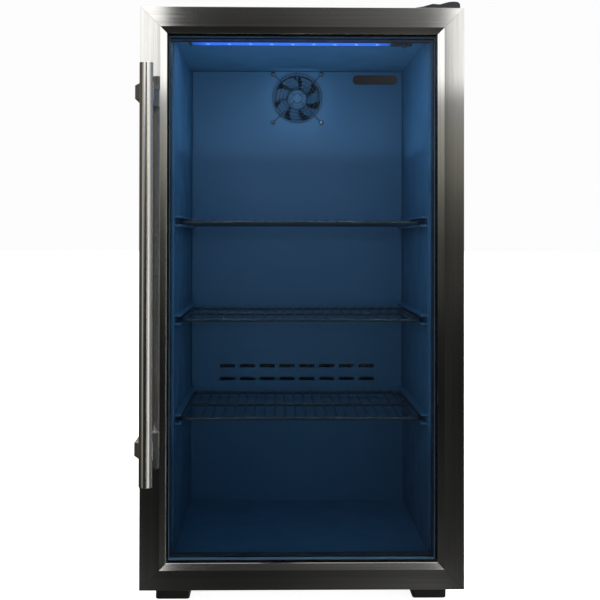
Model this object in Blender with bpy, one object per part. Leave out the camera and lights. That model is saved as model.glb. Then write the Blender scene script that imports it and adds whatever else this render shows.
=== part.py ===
"""Glass-door beverage cooler, built as the separate pieces it is assembled from.

Metres, +Z up. The door faces -Y and is hinged at +X, with its handle at -X.
The origin is on the floor, under the middle of the whole object, handle included.
Depths into the object are written as DOOR_FACE plus a distance.
"""
import math

import bmesh
import bpy
from mathutils import Matrix, Vector

# ---------------------------------------------------------------- driving sizes
GAP = 0.0003                      # left between pieces that touch
WIDTH = 0.445
HALF = WIDTH / 2
DOOR_FACE = -0.217                # Y of the door's metal face
DOOR_BOTTOM, DOOR_TOP = 0.028, 0.827
DOOR_THICK = 0.042
CABINET_FRONT = DOOR_FACE + 0.050
CABINET_BACK = DOOR_FACE + 0.480
REAR = DOOR_FACE + 0.500          # rearmost face, on the rear cover
CABINET_BOTTOM, CABINET_TOP = 0.0265, 0.822
SHEET = 0.0008                    # cabinet steel
PLATE = 0.0010                    # bottom plate steel
LINER = 0.0015                    # plastic liner wall
FLANGE = 0.034                    # steel face that the door seal closes on

# the cold room inside the liner
ROOM_HALF = 0.181
ROOM_FLOOR, ROOM_CEILING = 0.061, 0.797
ROOM_BACK = DOOR_FACE + 0.430
COVER_FACE = DOOR_FACE + 0.330    # evaporator cover, and the hump's front face
COVER_THICK = 0.0025
HUMP_TOP = 0.236
BAY_FRONT = DOOR_FACE + 0.362     # compressor bay under the hump
BAY_TOP = 0.215

# lamp housing, let into the ceiling behind the door
LAMP_HALF = 0.1660
LAMP_FRONT, LAMP_BACK = DOOR_FACE + 0.0540, DOOR_FACE + 0.1180
LAMP_TOP = ROOM_CEILING + 0.014
LENS_LEFT, LENS_RIGHT = -0.161, 0.133
LED_COUNT, LED_PITCH, LED_MIDDLE = 9, 0.0313, -0.012
CONTROL_X = 0.1500                # knob and switch sit at the housing's right end
KNOB_Y, SWITCH_Y = DOOR_FACE + 0.0720, DOOR_FACE + 0.1010

# shelves
SHELF_LEVELS = {"shelf_lower": 0.248, "shelf_middle": 0.3905, "shelf_upper": 0.532}
SHELF_HALF = 0.1735               # to the middle of the side rods
SHELF_FRONT, SHELF_BACK = DOOR_FACE + 0.075, DOOR_FACE + 0.315
ROD, WIRE = 0.0025, 0.0013        # radii
WIRE_PITCH = 0.0150
RAIL_INNER = 0.1722
RAIL_THICK = 0.0030

# fan on the evaporator cover
FAN_Z = 0.750
FAN_SIZE, FAN_DEEP, FAN_HOLES = 0.092, 0.025, 0.0825
FAN_DUCT, FAN_TIP, FAN_HUB = 0.0430, 0.0405, 0.0170

# door
TRIM_FLAT, TRIM_EDGE, TRIM_THICK = 0.0270, 0.0362, 0.0010
GLASS_DEPTH, GLASS_THICK, GLASS_SPACE = 0.0065, 0.0040, 0.0100
PANE_LAP = 0.0085                 # glass hidden behind the trim
GASKET_IN, GASKET_OUT = 0.0160, 0.0345    # from the door's outer edge
HINGE_X, HINGE_Y = 0.207, DOOR_FACE + 0.025
PIN, BUSH = 0.0030, 0.0060        # radii

# handle
BAR_X, BAR_Y, BAR_R = -0.207, DOOR_FACE - 0.054, 0.009
BAR_BOTTOM, BAR_TOP = 0.183, 0.740
BRACKET_LEVELS = {"handle_bracket_lower": 0.225, "handle_bracket_upper": 0.706}
BRACKET_HALF = 0.012
BRACKET_SCREW_Y = DOOR_FACE + 0.017

# feet
FOOT_X, FOOT_HALF, FOOT_STEM = 0.1815, 0.0238, 0.0040
FOOT_Y = DOOR_FACE + 0.0676
REAR_FOOT_Y = CABINET_BACK - 0.035

# cooling parts
COMPRESSOR = Vector((0.050, DOOR_FACE + 0.4270, 0.0420))
COMP_X, COMP_Y, COMP_HIGH = 0.078, 0.056, 0.132
MOUNT_X, MOUNT_Y = 0.080, 0.041
DRAIN_X, DRAIN_Y = -0.010, DOOR_FACE + 0.400
COIL_R = 0.0024

COLORS = {
    # name: (colour, roughness, metallic)
    "stainless": ((0.60, 0.59, 0.57), 0.28, 1.0),
    "bright_steel": ((0.72, 0.71, 0.69), 0.22, 1.0),
    "cabinet_black": ((0.012, 0.012, 0.013), 0.45, 0.0),
    "black_plastic": ((0.015, 0.015, 0.016), 0.50, 0.0),
    "zinc_steel": ((0.55, 0.56, 0.58), 0.40, 1.0),
    "liner_blue": ((0.020, 0.050, 0.095), 0.50, 0.0),
    "foam": ((0.80, 0.72, 0.50), 0.95, 0.0),
    "copper": ((0.72, 0.35, 0.20), 0.35, 1.0),
    "aluminium": ((0.75, 0.76, 0.78), 0.35, 1.0),
    "black_wire": ((0.010, 0.012, 0.016), 0.30, 0.0),
    "rubber": ((0.020, 0.020, 0.020), 0.80, 0.0),
    "tinted_glass": ((0.10, 0.14, 0.18), 0.02, 0.0),
    "clear_glass": ((0.60, 0.70, 0.75), 0.02, 0.0),
    "lamp_blue": ((0.02, 0.10, 0.85), 0.30, 0.0),
    "board_white": ((0.75, 0.75, 0.72), 0.50, 0.0),
}


# ---------------------------------------------------------------- making meshes
def clear_scene():
    for old in list(bpy.data.objects):
        bpy.data.objects.remove(old, do_unlink=True)


def finish_mesh(bm, name):
    """Turn a bmesh into a linked object with its faces pointing out."""
    bmesh.ops.recalc_face_normals(bm, faces=bm.faces)
    mesh = bpy.data.meshes.new(name)
    bm.to_mesh(mesh)
    bm.free()
    obj = bpy.data.objects.new(name, mesh)
    bpy.context.scene.collection.objects.link(obj)
    return obj


def add_box(bm, low, high):
    size = [h - l for l, h in zip(low, high)]
    middle = [(l + h) / 2 for l, h in zip(low, high)]
    matrix = Matrix.Translation(middle) @ Matrix.Diagonal((*size, 1.0))
    bmesh.ops.create_cube(bm, size=1.0, matrix=matrix)


def box(name, low, high):
    return boxes(name, [(low, high)])


def boxes(name, corners):
    """Several boxes, apart from each other, in one mesh."""
    bm = bmesh.new()
    for low, high in corners:
        add_box(bm, low, high)
    return finish_mesh(bm, name)


def prism(name, outline, axis, low, high):
    """A flat outline extruded from low to high along axis 'X', 'Y' or 'Z'.

    The outline's pairs are (Y, Z), (X, Z) or (X, Y) for those axes.
    """
    place = {
        "X": lambda a, b, t: (t, a, b),
        "Y": lambda a, b, t: (a, t, b),
        "Z": lambda a, b, t: (a, b, t),
    }[axis]
    bm = bmesh.new()
    near = [bm.verts.new(place(a, b, low)) for a, b in outline]
    far = [bm.verts.new(place(a, b, high)) for a, b in outline]
    bm.faces.new(near)
    bm.faces.new(far)
    count = len(outline)
    for i in range(count):
        j = (i + 1) % count
        bm.faces.new((near[i], near[j], far[j], far[i]))
    return finish_mesh(bm, name)


def turned(name, profile, centre, axis="Z", sides=24):
    """A solid of revolution: profile is a list of (radius, height along axis).

    The first and last points may lie on the axis (radius 0). A profile that
    starts and ends off the axis is closed into a ring.
    """
    bm = bmesh.new()
    rings = []
    for radius, height in profile:
        if radius == 0.0:
            rings.append([bm.verts.new((0.0, 0.0, height))])
            continue
        ring = []
        for k in range(sides):
            angle = 2 * math.pi * k / sides
            ring.append(bm.verts.new((radius * math.cos(angle), radius * math.sin(angle), height)))
        rings.append(ring)
    pairs = list(zip(rings, rings[1:]))
    if len(rings[0]) > 1 and len(rings[-1]) > 1:
        pairs.append((rings[-1], rings[0]))
    for one, two in pairs:
        for k in range(sides):
            n = (k + 1) % sides
            corners = [one[k % len(one)], one[n % len(one)], two[n % len(two)], two[k % len(two)]]
            bm.faces.new(list(dict.fromkeys(corners)))
    turn = {
        "Z": Matrix.Identity(4),
        "Y": Matrix.Rotation(math.radians(-90), 4, "X"),
        "X": Matrix.Rotation(math.radians(90), 4, "Y"),
    }[axis]
    bmesh.ops.transform(bm, matrix=Matrix.Translation(centre) @ turn, verts=bm.verts)
    return finish_mesh(bm, name)


def rod(name, centre, radius, low, high, axis="Z", sides=16):
    """A plain round bar from low to high along axis, through centre."""
    return turned(name, [(0.0, low), (radius, low), (radius, high), (0.0, high)], centre, axis, sides)


def swept(name, points, radius, sides=8):
    """A round bar along a smooth open path, its frame carried without twist."""
    path = [Vector(p) for p in points]
    bm = bmesh.new()
    normal = None
    rings = []
    for i, point in enumerate(path):
        ahead = (path[min(i + 1, len(path) - 1)] - path[max(i - 1, 0)]).normalized()
        if normal is None:
            normal = ahead.orthogonal().normalized()
        normal = (normal - ahead * normal.dot(ahead)).normalized()
        side = ahead.cross(normal)
        ring = []
        for k in range(sides):
            angle = 2 * math.pi * k / sides
            offset = normal * math.cos(angle) + side * math.sin(angle)
            ring.append(bm.verts.new(point + offset * radius))
        rings.append(ring)
    bm.faces.new(rings[0])
    bm.faces.new(rings[-1])
    for one, two in zip(rings, rings[1:]):
        for k in range(sides):
            n = (k + 1) % sides
            bm.faces.new((one[k], one[n], two[n], two[k]))
    return finish_mesh(bm, name)


def frame_ring(name, outer, inner, low_y, high_y):
    """A rectangular picture-frame ring; outer and inner are (x0, z0, x1, z1)."""
    solid = box(name, (outer[0], low_y, outer[1]), (outer[2], high_y, outer[3]))
    hole = box("hole", (inner[0], low_y - 0.01, inner[1]), (inner[2], high_y + 0.01, inner[3]))
    return cut(solid, hole)


def apply_boolean(target, tool, operation):
    """Do one exact Boolean now and drop the tool."""
    modifier = target.modifiers.new(operation.lower(), "BOOLEAN")
    modifier.operation = operation
    modifier.solver = "EXACT"
    modifier.object = tool
    depsgraph = bpy.context.evaluated_depsgraph_get()
    result = bpy.data.meshes.new_from_object(target.evaluated_get(depsgraph))
    target.modifiers.clear()
    old = target.data
    target.data = result
    result.name = old.name
    bpy.data.meshes.remove(old)
    bpy.data.objects.remove(tool, do_unlink=True)
    return target


def cut(target, *tools):
    for tool in tools:
        apply_boolean(target, tool, "DIFFERENCE")
    return target


def join(target, *tools):
    for tool in tools:
        apply_boolean(target, tool, "UNION")
    return target


def move_origin(obj, point):
    """Put the object's origin on its joint without moving its shape."""
    point = Vector(point)
    obj.data.transform(Matrix.Translation(-point))
    obj.location = point
    return obj


def shade(obj, angle=35):
    obj.data.shade_smooth()
    obj.data.set_sharp_from_angle(angle=math.radians(angle))
    return obj


def paint(obj, color):
    """Give the object its own Principled material of the named finish."""
    rgb, roughness, metallic = COLORS[color]
    material = bpy.data.materials.new(obj.name)
    material.use_nodes = True
    principled = material.node_tree.nodes["Principled BSDF"]
    principled.inputs["Base Color"].default_value = (*rgb, 1.0)
    principled.inputs["Roughness"].default_value = roughness
    principled.inputs["Metallic"].default_value = metallic
    if "glass" in color:
        principled.inputs["Transmission Weight"].default_value = 0.9
    obj.data.materials.clear()
    obj.data.materials.append(material)
    return obj


def arc(centre, radius, start, stop, steps):
    """Points on an arc, angles in degrees, both ends included."""
    found = []
    for k in range(steps + 1):
        angle = math.radians(start + (stop - start) * k / steps)
        found.append((centre[0] + radius * math.cos(angle), centre[1] + radius * math.sin(angle)))
    return found


# ---------------------------------------------------------------- cabinet
def make_cabinet_shell():
    """Steel wrap: two sides and the top, with a return flange round the front."""
    shell = box(
        "cabinet_shell",
        (-HALF, CABINET_FRONT, CABINET_BOTTOM),
        (HALF, CABINET_BACK, CABINET_TOP),
    )
    inside = HALF - SHEET
    room = box(
        "room",
        (-inside, CABINET_FRONT + SHEET, CABINET_BOTTOM - 0.01),
        (inside, CABINET_BACK + 0.01, CABINET_TOP - SHEET),
    )
    mouth = box(
        "mouth",
        (-(HALF - FLANGE), CABINET_FRONT - 0.01, CABINET_BOTTOM - 0.01),
        (HALF - FLANGE, CABINET_FRONT + 0.01, CABINET_TOP - FLANGE),
    )
    return cut(shell, room, mouth)


def make_bottom_plate():
    """One bent sheet: front lip, floor, front wall of the bay and its ceiling."""
    t = PLATE
    front = CABINET_FRONT + SHEET + GAP
    outline = [
        (front, CABINET_BOTTOM),
        (BAY_FRONT, CABINET_BOTTOM),
        (BAY_FRONT, BAY_TOP - t),
        (CABINET_BACK - GAP, BAY_TOP - t),
        (CABINET_BACK - GAP, BAY_TOP),
        (BAY_FRONT - t, BAY_TOP),
        (BAY_FRONT - t, CABINET_BOTTOM + t),
        (front + t, CABINET_BOTTOM + t),
        (front + t, CABINET_BOTTOM + 0.016),
        (front, CABINET_BOTTOM + 0.016),
    ]
    inside = HALF - SHEET - GAP
    plate = prism("bottom_plate", outline, "X", -inside, inside)
    holes = [stem_hole(side, FOOT_STEM + 0.0005) for side in (-1, 1)]
    drain = rod("drain", (DRAIN_X, DRAIN_Y, BAY_TOP), 0.0066, -0.01, 0.01)
    return cut(plate, *holes, drain)


def stem_hole(side, radius, top=0.0065):
    """Cutter for a front foot's stem, from below the cabinet to a set height."""
    return rod("stem", (side * FOOT_X, FOOT_Y, 0.040), radius, -0.030, top)


def room_solids(grow):
    """The cold room's space as boxes (add, add, take away), grown by a margin."""
    g = grow
    main = box(
        "main",
        (-ROOM_HALF - g, CABINET_FRONT - 0.01, ROOM_FLOOR - g),
        (ROOM_HALF + g, ROOM_BACK + g, ROOM_CEILING + g),
    )
    pocket = box(
        "pocket",
        (-LAMP_HALF - g, LAMP_FRONT - g, ROOM_CEILING - 0.01),
        (LAMP_HALF + g, LAMP_BACK + g, LAMP_TOP + g),
    )
    hump = box(
        "hump",
        (-ROOM_HALF - 0.05, COVER_FACE + g, ROOM_FLOOR - 0.05),
        (ROOM_HALF + 0.05, ROOM_BACK + 0.05, HUMP_TOP - g),
    )
    return cut(join(main, pocket), hump)


def make_liner():
    """Moulded plastic room with a front flange, the hump and the shelf rails."""
    liner = room_solids(LINER)
    liner.name = "inner_liner"
    back_of_steel = CABINET_FRONT + SHEET + GAP + PLATE + GAP
    inside = HALF - SHEET - GAP
    flange = box(
        "flange",
        (-inside, back_of_steel, CABINET_BOTTOM + PLATE + GAP),
        (inside, back_of_steel + LINER, CABINET_TOP - SHEET - GAP),
    )
    trim = box("trim", (-HALF, CABINET_FRONT - 0.05, 0.0), (HALF, back_of_steel, CABINET_TOP))
    cut(liner, trim)
    join(liner, flange)
    cut(liner, room_solids(0.0))
    for level in SHELF_LEVELS.values():
        for side in (-1, 1):
            join(liner, make_rail(side, level - ROD - GAP - RAIL_THICK))
            join(liner, make_rail(side, level + ROD + 0.004))
    drain = rod("drain", (DRAIN_X, DRAIN_Y, HUMP_TOP), 0.0066, -0.01, 0.01)
    return cut(liner, drain)


def make_rail(side, bottom):
    """A ledge on the liner's side wall, for a shelf to lie on or be held under."""
    inner, outer = side * RAIL_INNER, side * (ROOM_HALF + LINER / 2)
    return box(
        "rail",
        (min(inner, outer), CABINET_FRONT + 0.012, bottom),
        (max(inner, outer), COVER_FACE - 0.006, bottom + RAIL_THICK),
    )


def make_foam():
    """Foam between the liner and the steel, with pockets for the condenser tubes."""
    inside = HALF - SHEET - GAP
    front = CABINET_FRONT + SHEET + PLATE + LINER + 3 * GAP
    foam = box(
        "foam_insulation",
        (-inside, front, CABINET_BOTTOM + PLATE + GAP),
        (inside, CABINET_BACK - 0.0005, CABINET_TOP - SHEET - GAP),
    )
    cut(foam, room_solids(LINER + GAP))
    bay = box(
        "bay",
        (-HALF, BAY_FRONT - PLATE - GAP, 0.0),
        (HALF, CABINET_BACK + 0.01, BAY_TOP + GAP),
    )
    pockets = boxes(
        "pockets",
        [
            ((-HALF, DOOR_FACE + 0.080, 0.250), (-HALF + 0.009, DOOR_FACE + 0.460, 0.770)),
            ((HALF - 0.009, DOOR_FACE + 0.080, 0.250), (HALF, DOOR_FACE + 0.460, 0.770)),
        ],
    )
    drain = rod("drain", (DRAIN_X, DRAIN_Y, HUMP_TOP), 0.0066, -0.05, 0.05)
    stems = [stem_hole(side, FOOT_STEM + 0.002, 0.010) for side in (-1, 1)]
    return cut(foam, bay, pockets, drain, *stems)


def make_back_panel():
    """Steel back with a shallow stamped field, laid over the rear edges."""
    low, high = BAY_TOP + 0.0170, CABINET_TOP - 0.002
    panel = box(
        "back_panel",
        (-HALF + 0.0015, CABINET_BACK + GAP, low),
        (HALF - 0.0015, CABINET_BACK + GAP + 0.0030, high),
    )
    hollow = box(
        "hollow",
        (-HALF + 0.0025, CABINET_BACK - 0.01, low + 0.001),
        (HALF - 0.0025, CABINET_BACK + GAP + 0.0020, high - 0.001),
    )
    ribs = []
    for k in range(3):
        x = (k - 1) * 0.120
        ribs.append(((x - 0.012, CABINET_BACK + GAP + 0.0010, low + 0.060),
                     (x + 0.012, CABINET_BACK + GAP + 0.0060, high - 0.060)))
    inner = []
    for rib_low, rib_high in ribs:
        inner.append(((rib_low[0] + 0.001, rib_low[1] - 0.01, rib_low[2] + 0.001),
                      (rib_high[0] - 0.001, rib_high[1] - 0.0010, rib_high[2] - 0.001)))
    cut(panel, hollow)
    join(panel, boxes("ribs", ribs))
    return cut(panel, boxes("rib_backs", inner))


def serpentine(side):
    """Route of the condenser tube inside one side wall: upright runs and bends."""
    runs, pitch = 6, 0.066
    low, high = 0.300, 0.720
    start = DOOR_FACE + 0.105
    x = side * (HALF - SHEET - GAP - COIL_R)
    points = [(x, start, low - 0.030)]
    for run in range(runs):
        y = start + pitch * run
        up = run % 2 == 0
        points.append((x, y, low if up else high))
        points.append((x, y, high if up else low))
        if run < runs - 1:
            centre = (y + pitch / 2, high if up else low)
            bend = arc(centre, pitch / 2, 180, 0 if up else 360, 6)
            points += [(x, a, b) for a, b in bend[1:-1]]
    return points


def make_condenser_coils():
    left = swept("condenser_coil_left", serpentine(-1), COIL_R, 6)
    right = swept("condenser_coil_right", serpentine(1), COIL_R, 6)
    return [left, right]


# ---------------------------------------------------------------- cold side
def make_evaporator_cover():
    """Rear wall panel with the fan opening and two rows of return-air slots."""
    edge = 0.001
    cover = box(
        "evaporator_cover",
        (-ROOM_HALF + edge, COVER_FACE, HUMP_TOP + edge),
        (ROOM_HALF - edge, COVER_FACE + COVER_THICK, ROOM_CEILING - edge),
    )
    flanges = boxes(
        "flanges",
        [
            ((-ROOM_HALF + edge, COVER_FACE + 0.001, HUMP_TOP + edge),
             (ROOM_HALF - edge, COVER_FACE + 0.014, HUMP_TOP + edge + COVER_THICK)),
        ],
    )
    join(cover, flanges)
    duct = rod("duct", (0, COVER_FACE, FAN_Z), 0.0400, -0.01, 0.01, "Y", 32)
    cut(cover, duct)
    slots = []
    for row in range(2):
        for k in range(8):
            x = (k - 3.5) * 0.034
            z = HUMP_TOP + 0.030 + row * 0.022
            slots.append(((x - 0.013, COVER_FACE - 0.01, z), (x + 0.013, COVER_FACE + 0.01, z + 0.006)))
    return cut(cover, boxes("slots", slots))


def make_fan_guard():
    """Wire finger guard: rings carried by four diagonal arms with screw eyes."""
    wire = 0.0014
    near, far = COVER_FACE - 0.0040, COVER_FACE - 0.0040 + wire
    rings = []
    for radius in (0.0090, 0.0200, 0.0310, 0.0420):
        profile = [
            (radius - wire / 2, near),
            (radius + wire / 2, near),
            (radius + wire / 2, far),
            (radius - wire / 2, far),
        ]
        rings.append(turned("ring", profile, (0, 0, FAN_Z), "Y", 20))
    reach = FAN_HOLES / 2
    arms = prism("fan_guard", diagonal_strip(reach, wire * 0.6), "Y", near + 0.0008, COVER_FACE - GAP)
    arms.location.z = FAN_Z
    crossed = prism("crossed", diagonal_strip(reach, wire * 0.6, -1), "Y", near + 0.0008, COVER_FACE - GAP)
    crossed.location.z = FAN_Z
    join(arms, crossed, *rings)
    move_mesh_to_world(arms)
    for sx in (-1, 1):
        for sz in (-1, 1):
            centre = (sx * reach, COVER_FACE - GAP, FAN_Z + sz * reach)
            join(arms, rod("eye", centre, 0.0036, -0.0012, 0.0, "Y", 12))
    return arms


def move_mesh_to_world(obj):
    """Bake the object's place into its mesh."""
    bpy.context.view_layer.update()
    obj.data.transform(obj.matrix_world)
    obj.matrix_world = Matrix.Identity(4)


def diagonal_strip(reach, half, sign=1):
    """Outline of a straight strip across the fan, corner to corner."""
    a, b = Vector((-reach, -reach * sign)), Vector((reach, reach * sign))
    across = (b - a).normalized().orthogonal() * half
    return [tuple(a + across), tuple(b + across), tuple(b - across), tuple(a - across)]


def make_fan_frame():
    """Square fan body with a round duct, a motor hub and four struts."""
    front = COVER_FACE + COVER_THICK + GAP
    half = FAN_SIZE / 2
    frame = box(
        "fan_frame",
        (-half, front, FAN_Z - half),
        (half, front + FAN_DEEP, FAN_Z + half - 0.0005),
    )
    cut(frame, rod("duct", (0, front, FAN_Z), FAN_DUCT, -0.01, FAN_DEEP + 0.01, "Y", 32))
    back = front + FAN_DEEP
    struts = boxes(
        "struts",
        [
            ((-FAN_DUCT - 0.001, back - 0.003, FAN_Z - 0.002),
             (FAN_DUCT + 0.001, back - GAP, FAN_Z + 0.002)),
        ],
    )
    upright = box(
        "upright",
        (-0.002, back - 0.003, FAN_Z - FAN_DUCT - 0.001),
        (0.002, back - GAP, FAN_Z + FAN_DUCT + 0.001),
    )
    motor = rod("motor", (0, back, FAN_Z), FAN_HUB, -0.0040, 0.0, "Y", 24)
    join(struts, upright, motor)
    axle = rod("axle", (0, back, FAN_Z), 0.0020, -0.0140, -0.0020, "Y", 10)
    join(struts, axle)
    return join(frame, struts)


def make_fan_blade():
    """Seven pitched blades on a cup that turns on the motor's axle."""
    front = COVER_FACE + COVER_THICK + GAP + 0.003
    cup = turned(
        "fan_blade",
        [
            (0.0, 0.0),
            (FAN_HUB - 0.002, 0.0),
            (FAN_HUB, 0.002),
            (FAN_HUB, 0.016),
            (FAN_HUB - 0.002, 0.016),
            (FAN_HUB - 0.002, 0.005),
            (0.0025, 0.005),
            (0.0025, 0.002),
            (0.0, 0.002),
        ],
        (0, front, FAN_Z),
        "Y",
        21,
    )
    for k in range(7):
        blade = box("blade", (FAN_HUB - 0.001, -0.0006, -0.0110), (FAN_TIP, 0.0006, 0.0110))
        lean = Matrix.Rotation(math.radians(52), 4, "X")
        spin = Matrix.Rotation(2 * math.pi * k / 7, 4, "Y")
        blade.data.transform(Matrix.Translation((0, front + 0.0085, FAN_Z)) @ spin @ lean)
        join(cup, blade)
    return move_origin(cup, (0, front, FAN_Z))


def make_evaporator():
    """Finned aluminium block and the tube that snakes behind it."""
    half, low, high = 0.145, 0.270, 0.640
    front, back = COVER_FACE + 0.030, COVER_FACE + 0.074
    fins = []
    count = 18
    for k in range(count):
        x = -half + 2 * half * k / (count - 1)
        fins.append(((x - 0.0006, front, low), (x + 0.0006, back + 0.0005, high)))
    block = box("evaporator_fins", (-half - 0.001, back, low), (half + 0.001, back + 0.002, high))
    join(block, boxes("fins", fins))
    radius, pitch, runs = 0.0035, 0.050, 7
    y = back + 0.002 + GAP + radius
    points = []
    for run in range(runs):
        z = low + 0.030 + pitch * run
        leftward = run % 2 == 0
        ends = (half - 0.028, -half + 0.028)
        points.append((ends[0 if leftward else 1], y, z))
        points.append((ends[1 if leftward else 0], y, z))
        if run < runs - 1:
            centre = (ends[1 if leftward else 0], z + pitch / 2)
            bend = arc(centre, pitch / 2, -90, -270 if leftward else 90, 6)
            points += [(a, y, b) for a, b in bend[1:-1]]
    return [block, swept("evaporator_tube", points, radius, 6)]


def make_lamp():
    """Lamp housing in the ceiling, its lens tray and the lamp board."""
    floor_thick = 0.0015
    half = LAMP_HALF - 0.0005
    front, back = LAMP_FRONT + 0.0005, LAMP_BACK - 0.0005
    housing = box("led_housing", (-half, front, ROOM_CEILING), (half, back, LAMP_TOP - 0.0005))
    hollow = box(
        "hollow",
        (-half + floor_thick, front + floor_thick, ROOM_CEILING + floor_thick),
        (half - floor_thick, back - floor_thick, LAMP_TOP + 0.01),
    )
    window_front, window_back = front + 0.004, back - 0.004
    window = box(
        "window",
        (LENS_LEFT, window_front, ROOM_CEILING - 0.01),
        (LENS_RIGHT, window_back, ROOM_CEILING + 0.0025),
    )
    shaft = rod("shaft", (CONTROL_X, KNOB_Y, ROOM_CEILING), 0.0034, -0.01, 0.01)
    switch_hole = box(
        "switch_hole",
        (CONTROL_X - 0.0088, SWITCH_Y - 0.0062, ROOM_CEILING - 0.01),
        (CONTROL_X + 0.0088, SWITCH_Y + 0.0062, ROOM_CEILING + 0.01),
    )
    cut(housing, hollow, window, shaft, switch_hole)
    lens = box(
        "led_lens",
        (LENS_LEFT + GAP, window_front + GAP, ROOM_CEILING - 0.0004),
        (LENS_RIGHT - GAP, window_back - GAP, ROOM_CEILING + 0.0060),
    )
    lens_room = box(
        "lens_room",
        (LENS_LEFT + 0.0018, window_front + 0.0018, ROOM_CEILING + 0.0012),
        (LENS_RIGHT - 0.0018, window_back - 0.0018, ROOM_CEILING + 0.02),
    )
    cut(lens, lens_room)
    board_z = ROOM_CEILING + 0.0063
    board = box(
        "led_board",
        (LENS_LEFT + 0.003, window_front + 0.0006, board_z),
        (LENS_RIGHT - 0.003, window_back - 0.0006, board_z + 0.0016),
    )
    chips = []
    middle = (window_front + window_back) / 2
    for k in range(LED_COUNT):
        x = LED_MIDDLE + (k - (LED_COUNT - 1) / 2) * LED_PITCH
        chips.append(((x - 0.0025, middle - 0.0025, board_z - 0.0012),
                      (x + 0.0025, middle + 0.0025, board_z + 0.0005)))
    join(board, boxes("chips", chips))
    return [housing, lens, board]


def make_knob():
    """Round temperature knob with a finger bar, its short shaft going up."""
    knob = turned(
        "thermostat_knob",
        [
            (0.0, -0.0050),
            (0.0105, -0.0050),
            (0.0115, -0.0040),
            (0.0115, -0.0006),
            (0.0030, -0.0006),
            (0.0030, 0.0080),
            (0.0, 0.0080),
        ],
        (CONTROL_X, KNOB_Y, ROOM_CEILING),
        sides=28,
    )
    grip = box(
        "grip",
        (CONTROL_X - 0.0022, KNOB_Y - 0.0100, ROOM_CEILING - 0.0100),
        (CONTROL_X + 0.0022, KNOB_Y + 0.0100, ROOM_CEILING - 0.0045),
    )
    join(knob, grip)
    return move_origin(knob, (CONTROL_X, KNOB_Y, ROOM_CEILING))


def make_switch():
    """Rocker of the lamp switch, tipped to its on side, pivoting along Y."""
    half, tall = 0.0080, 0.0040
    outline = [
        (-half, -0.0008),
        (0.0, 0.0006),
        (half, -0.0008),
        (half, tall),
        (-half, tall),
    ]
    rocker = prism("light_switch", outline, "Y", -0.0056, 0.0056)
    rocker.data.transform(Matrix.Rotation(math.radians(7), 4, "Y"))
    rocker.location = (CONTROL_X, SWITCH_Y, ROOM_CEILING)
    return rocker


# ---------------------------------------------------------------- shelves
def make_shelf(name, level):
    """Wire shelf: a rod frame, a rod across its middle and wires from front to back."""
    bm = bmesh.new()
    half = SHELF_HALF
    for x in (-half, half):
        add_box(bm, (x - ROD, SHELF_FRONT, level - ROD), (x + ROD, SHELF_BACK, level + ROD))
    frame = finish_mesh(bm, name)
    cross = []
    span = SHELF_BACK - SHELF_FRONT
    for y in (SHELF_FRONT + ROD, SHELF_FRONT + span / 2, SHELF_BACK - ROD):
        cross.append(((-half, y - ROD, level - ROD), (half, y + ROD, level + ROD)))
    join(frame, boxes("cross", cross))
    wires = []
    count = int((2 * half - 2 * ROD) / WIRE_PITCH)
    for k in range(count):
        x = (k - (count - 1) / 2) * WIRE_PITCH
        low = level + ROD - 0.0006
        wires.append(((x - WIRE, SHELF_FRONT + 0.0004, low),
                      (x + WIRE, SHELF_BACK - 0.0004, low + 2 * WIRE)))
    join(frame, boxes("wires", wires))
    return move_origin(frame, (0, SHELF_FRONT, level))


# ---------------------------------------------------------------- door
def trim_profile():
    """Section of the metal trim as (distance in from the edge, depth).

    A flat face, a soft fold, a band that slopes to the glass, and a lip that
    turns back to the pane.
    """
    t, flat, edge = TRIM_THICK, TRIM_FLAT, TRIM_EDGE
    outside = [
        (0.0, 0.0320),
        (0.0, 0.0002),
        (0.0002, 0.0),
        (flat, 0.0),
        (edge - 0.0012, 0.0023),
        (edge - 0.0002, 0.00265),
        (edge, 0.0029),
        (edge, 0.0058),
    ]
    inside = [
        (edge - t, 0.0058),
        (edge - t, 0.0036),
        (edge - 0.0016, 0.0033),
        (flat + 0.0014, 0.0016),
        (flat + 0.0002, t),
        (t + 0.0004, t),
        (t, t + 0.0004),
        (t, 0.0320),
    ]
    return outside + inside


def make_trim(name, side):
    """One mitred trim piece; side is left, right, top or bottom."""
    middle_z = (DOOR_BOTTOM + DOOR_TOP) / 2
    half_high = (DOOR_TOP - DOOR_BOTTOM) / 2
    upright = side in ("left", "right")
    reach = half_high if upright else HALF
    sign = 1 if side in ("right", "top") else -1
    slack = GAP / 2
    bm = bmesh.new()
    ends = []
    for end in (-1, 1):
        ring = []
        for inward, depth in trim_profile():
            along = end * (reach - inward - slack)
            if upright:
                place = (sign * (HALF - inward), DOOR_FACE + depth, middle_z + along)
            else:
                place = (along, DOOR_FACE + depth, middle_z + sign * (half_high - inward))
            ring.append(bm.verts.new(place))
        ends.append(ring)
        bm.faces.new(ring)
    count = len(ends[0])
    for k in range(count):
        n = (k + 1) % count
        bm.faces.new((ends[0][k], ends[0][n], ends[1][n], ends[1][k]))
    trim = finish_mesh(bm, name)
    if upright and side == "left":
        for level in BRACKET_LEVELS.values():
            cut(trim, rod("screw", (-HALF, BRACKET_SCREW_Y, level), 0.0025, -0.01, 0.01, "X", 12))
    if not upright:
        cut(trim, rod("bush", (HINGE_X, HINGE_Y, middle_z + sign * half_high), BUSH + GAP, -0.006, 0.006))
    return trim


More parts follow.
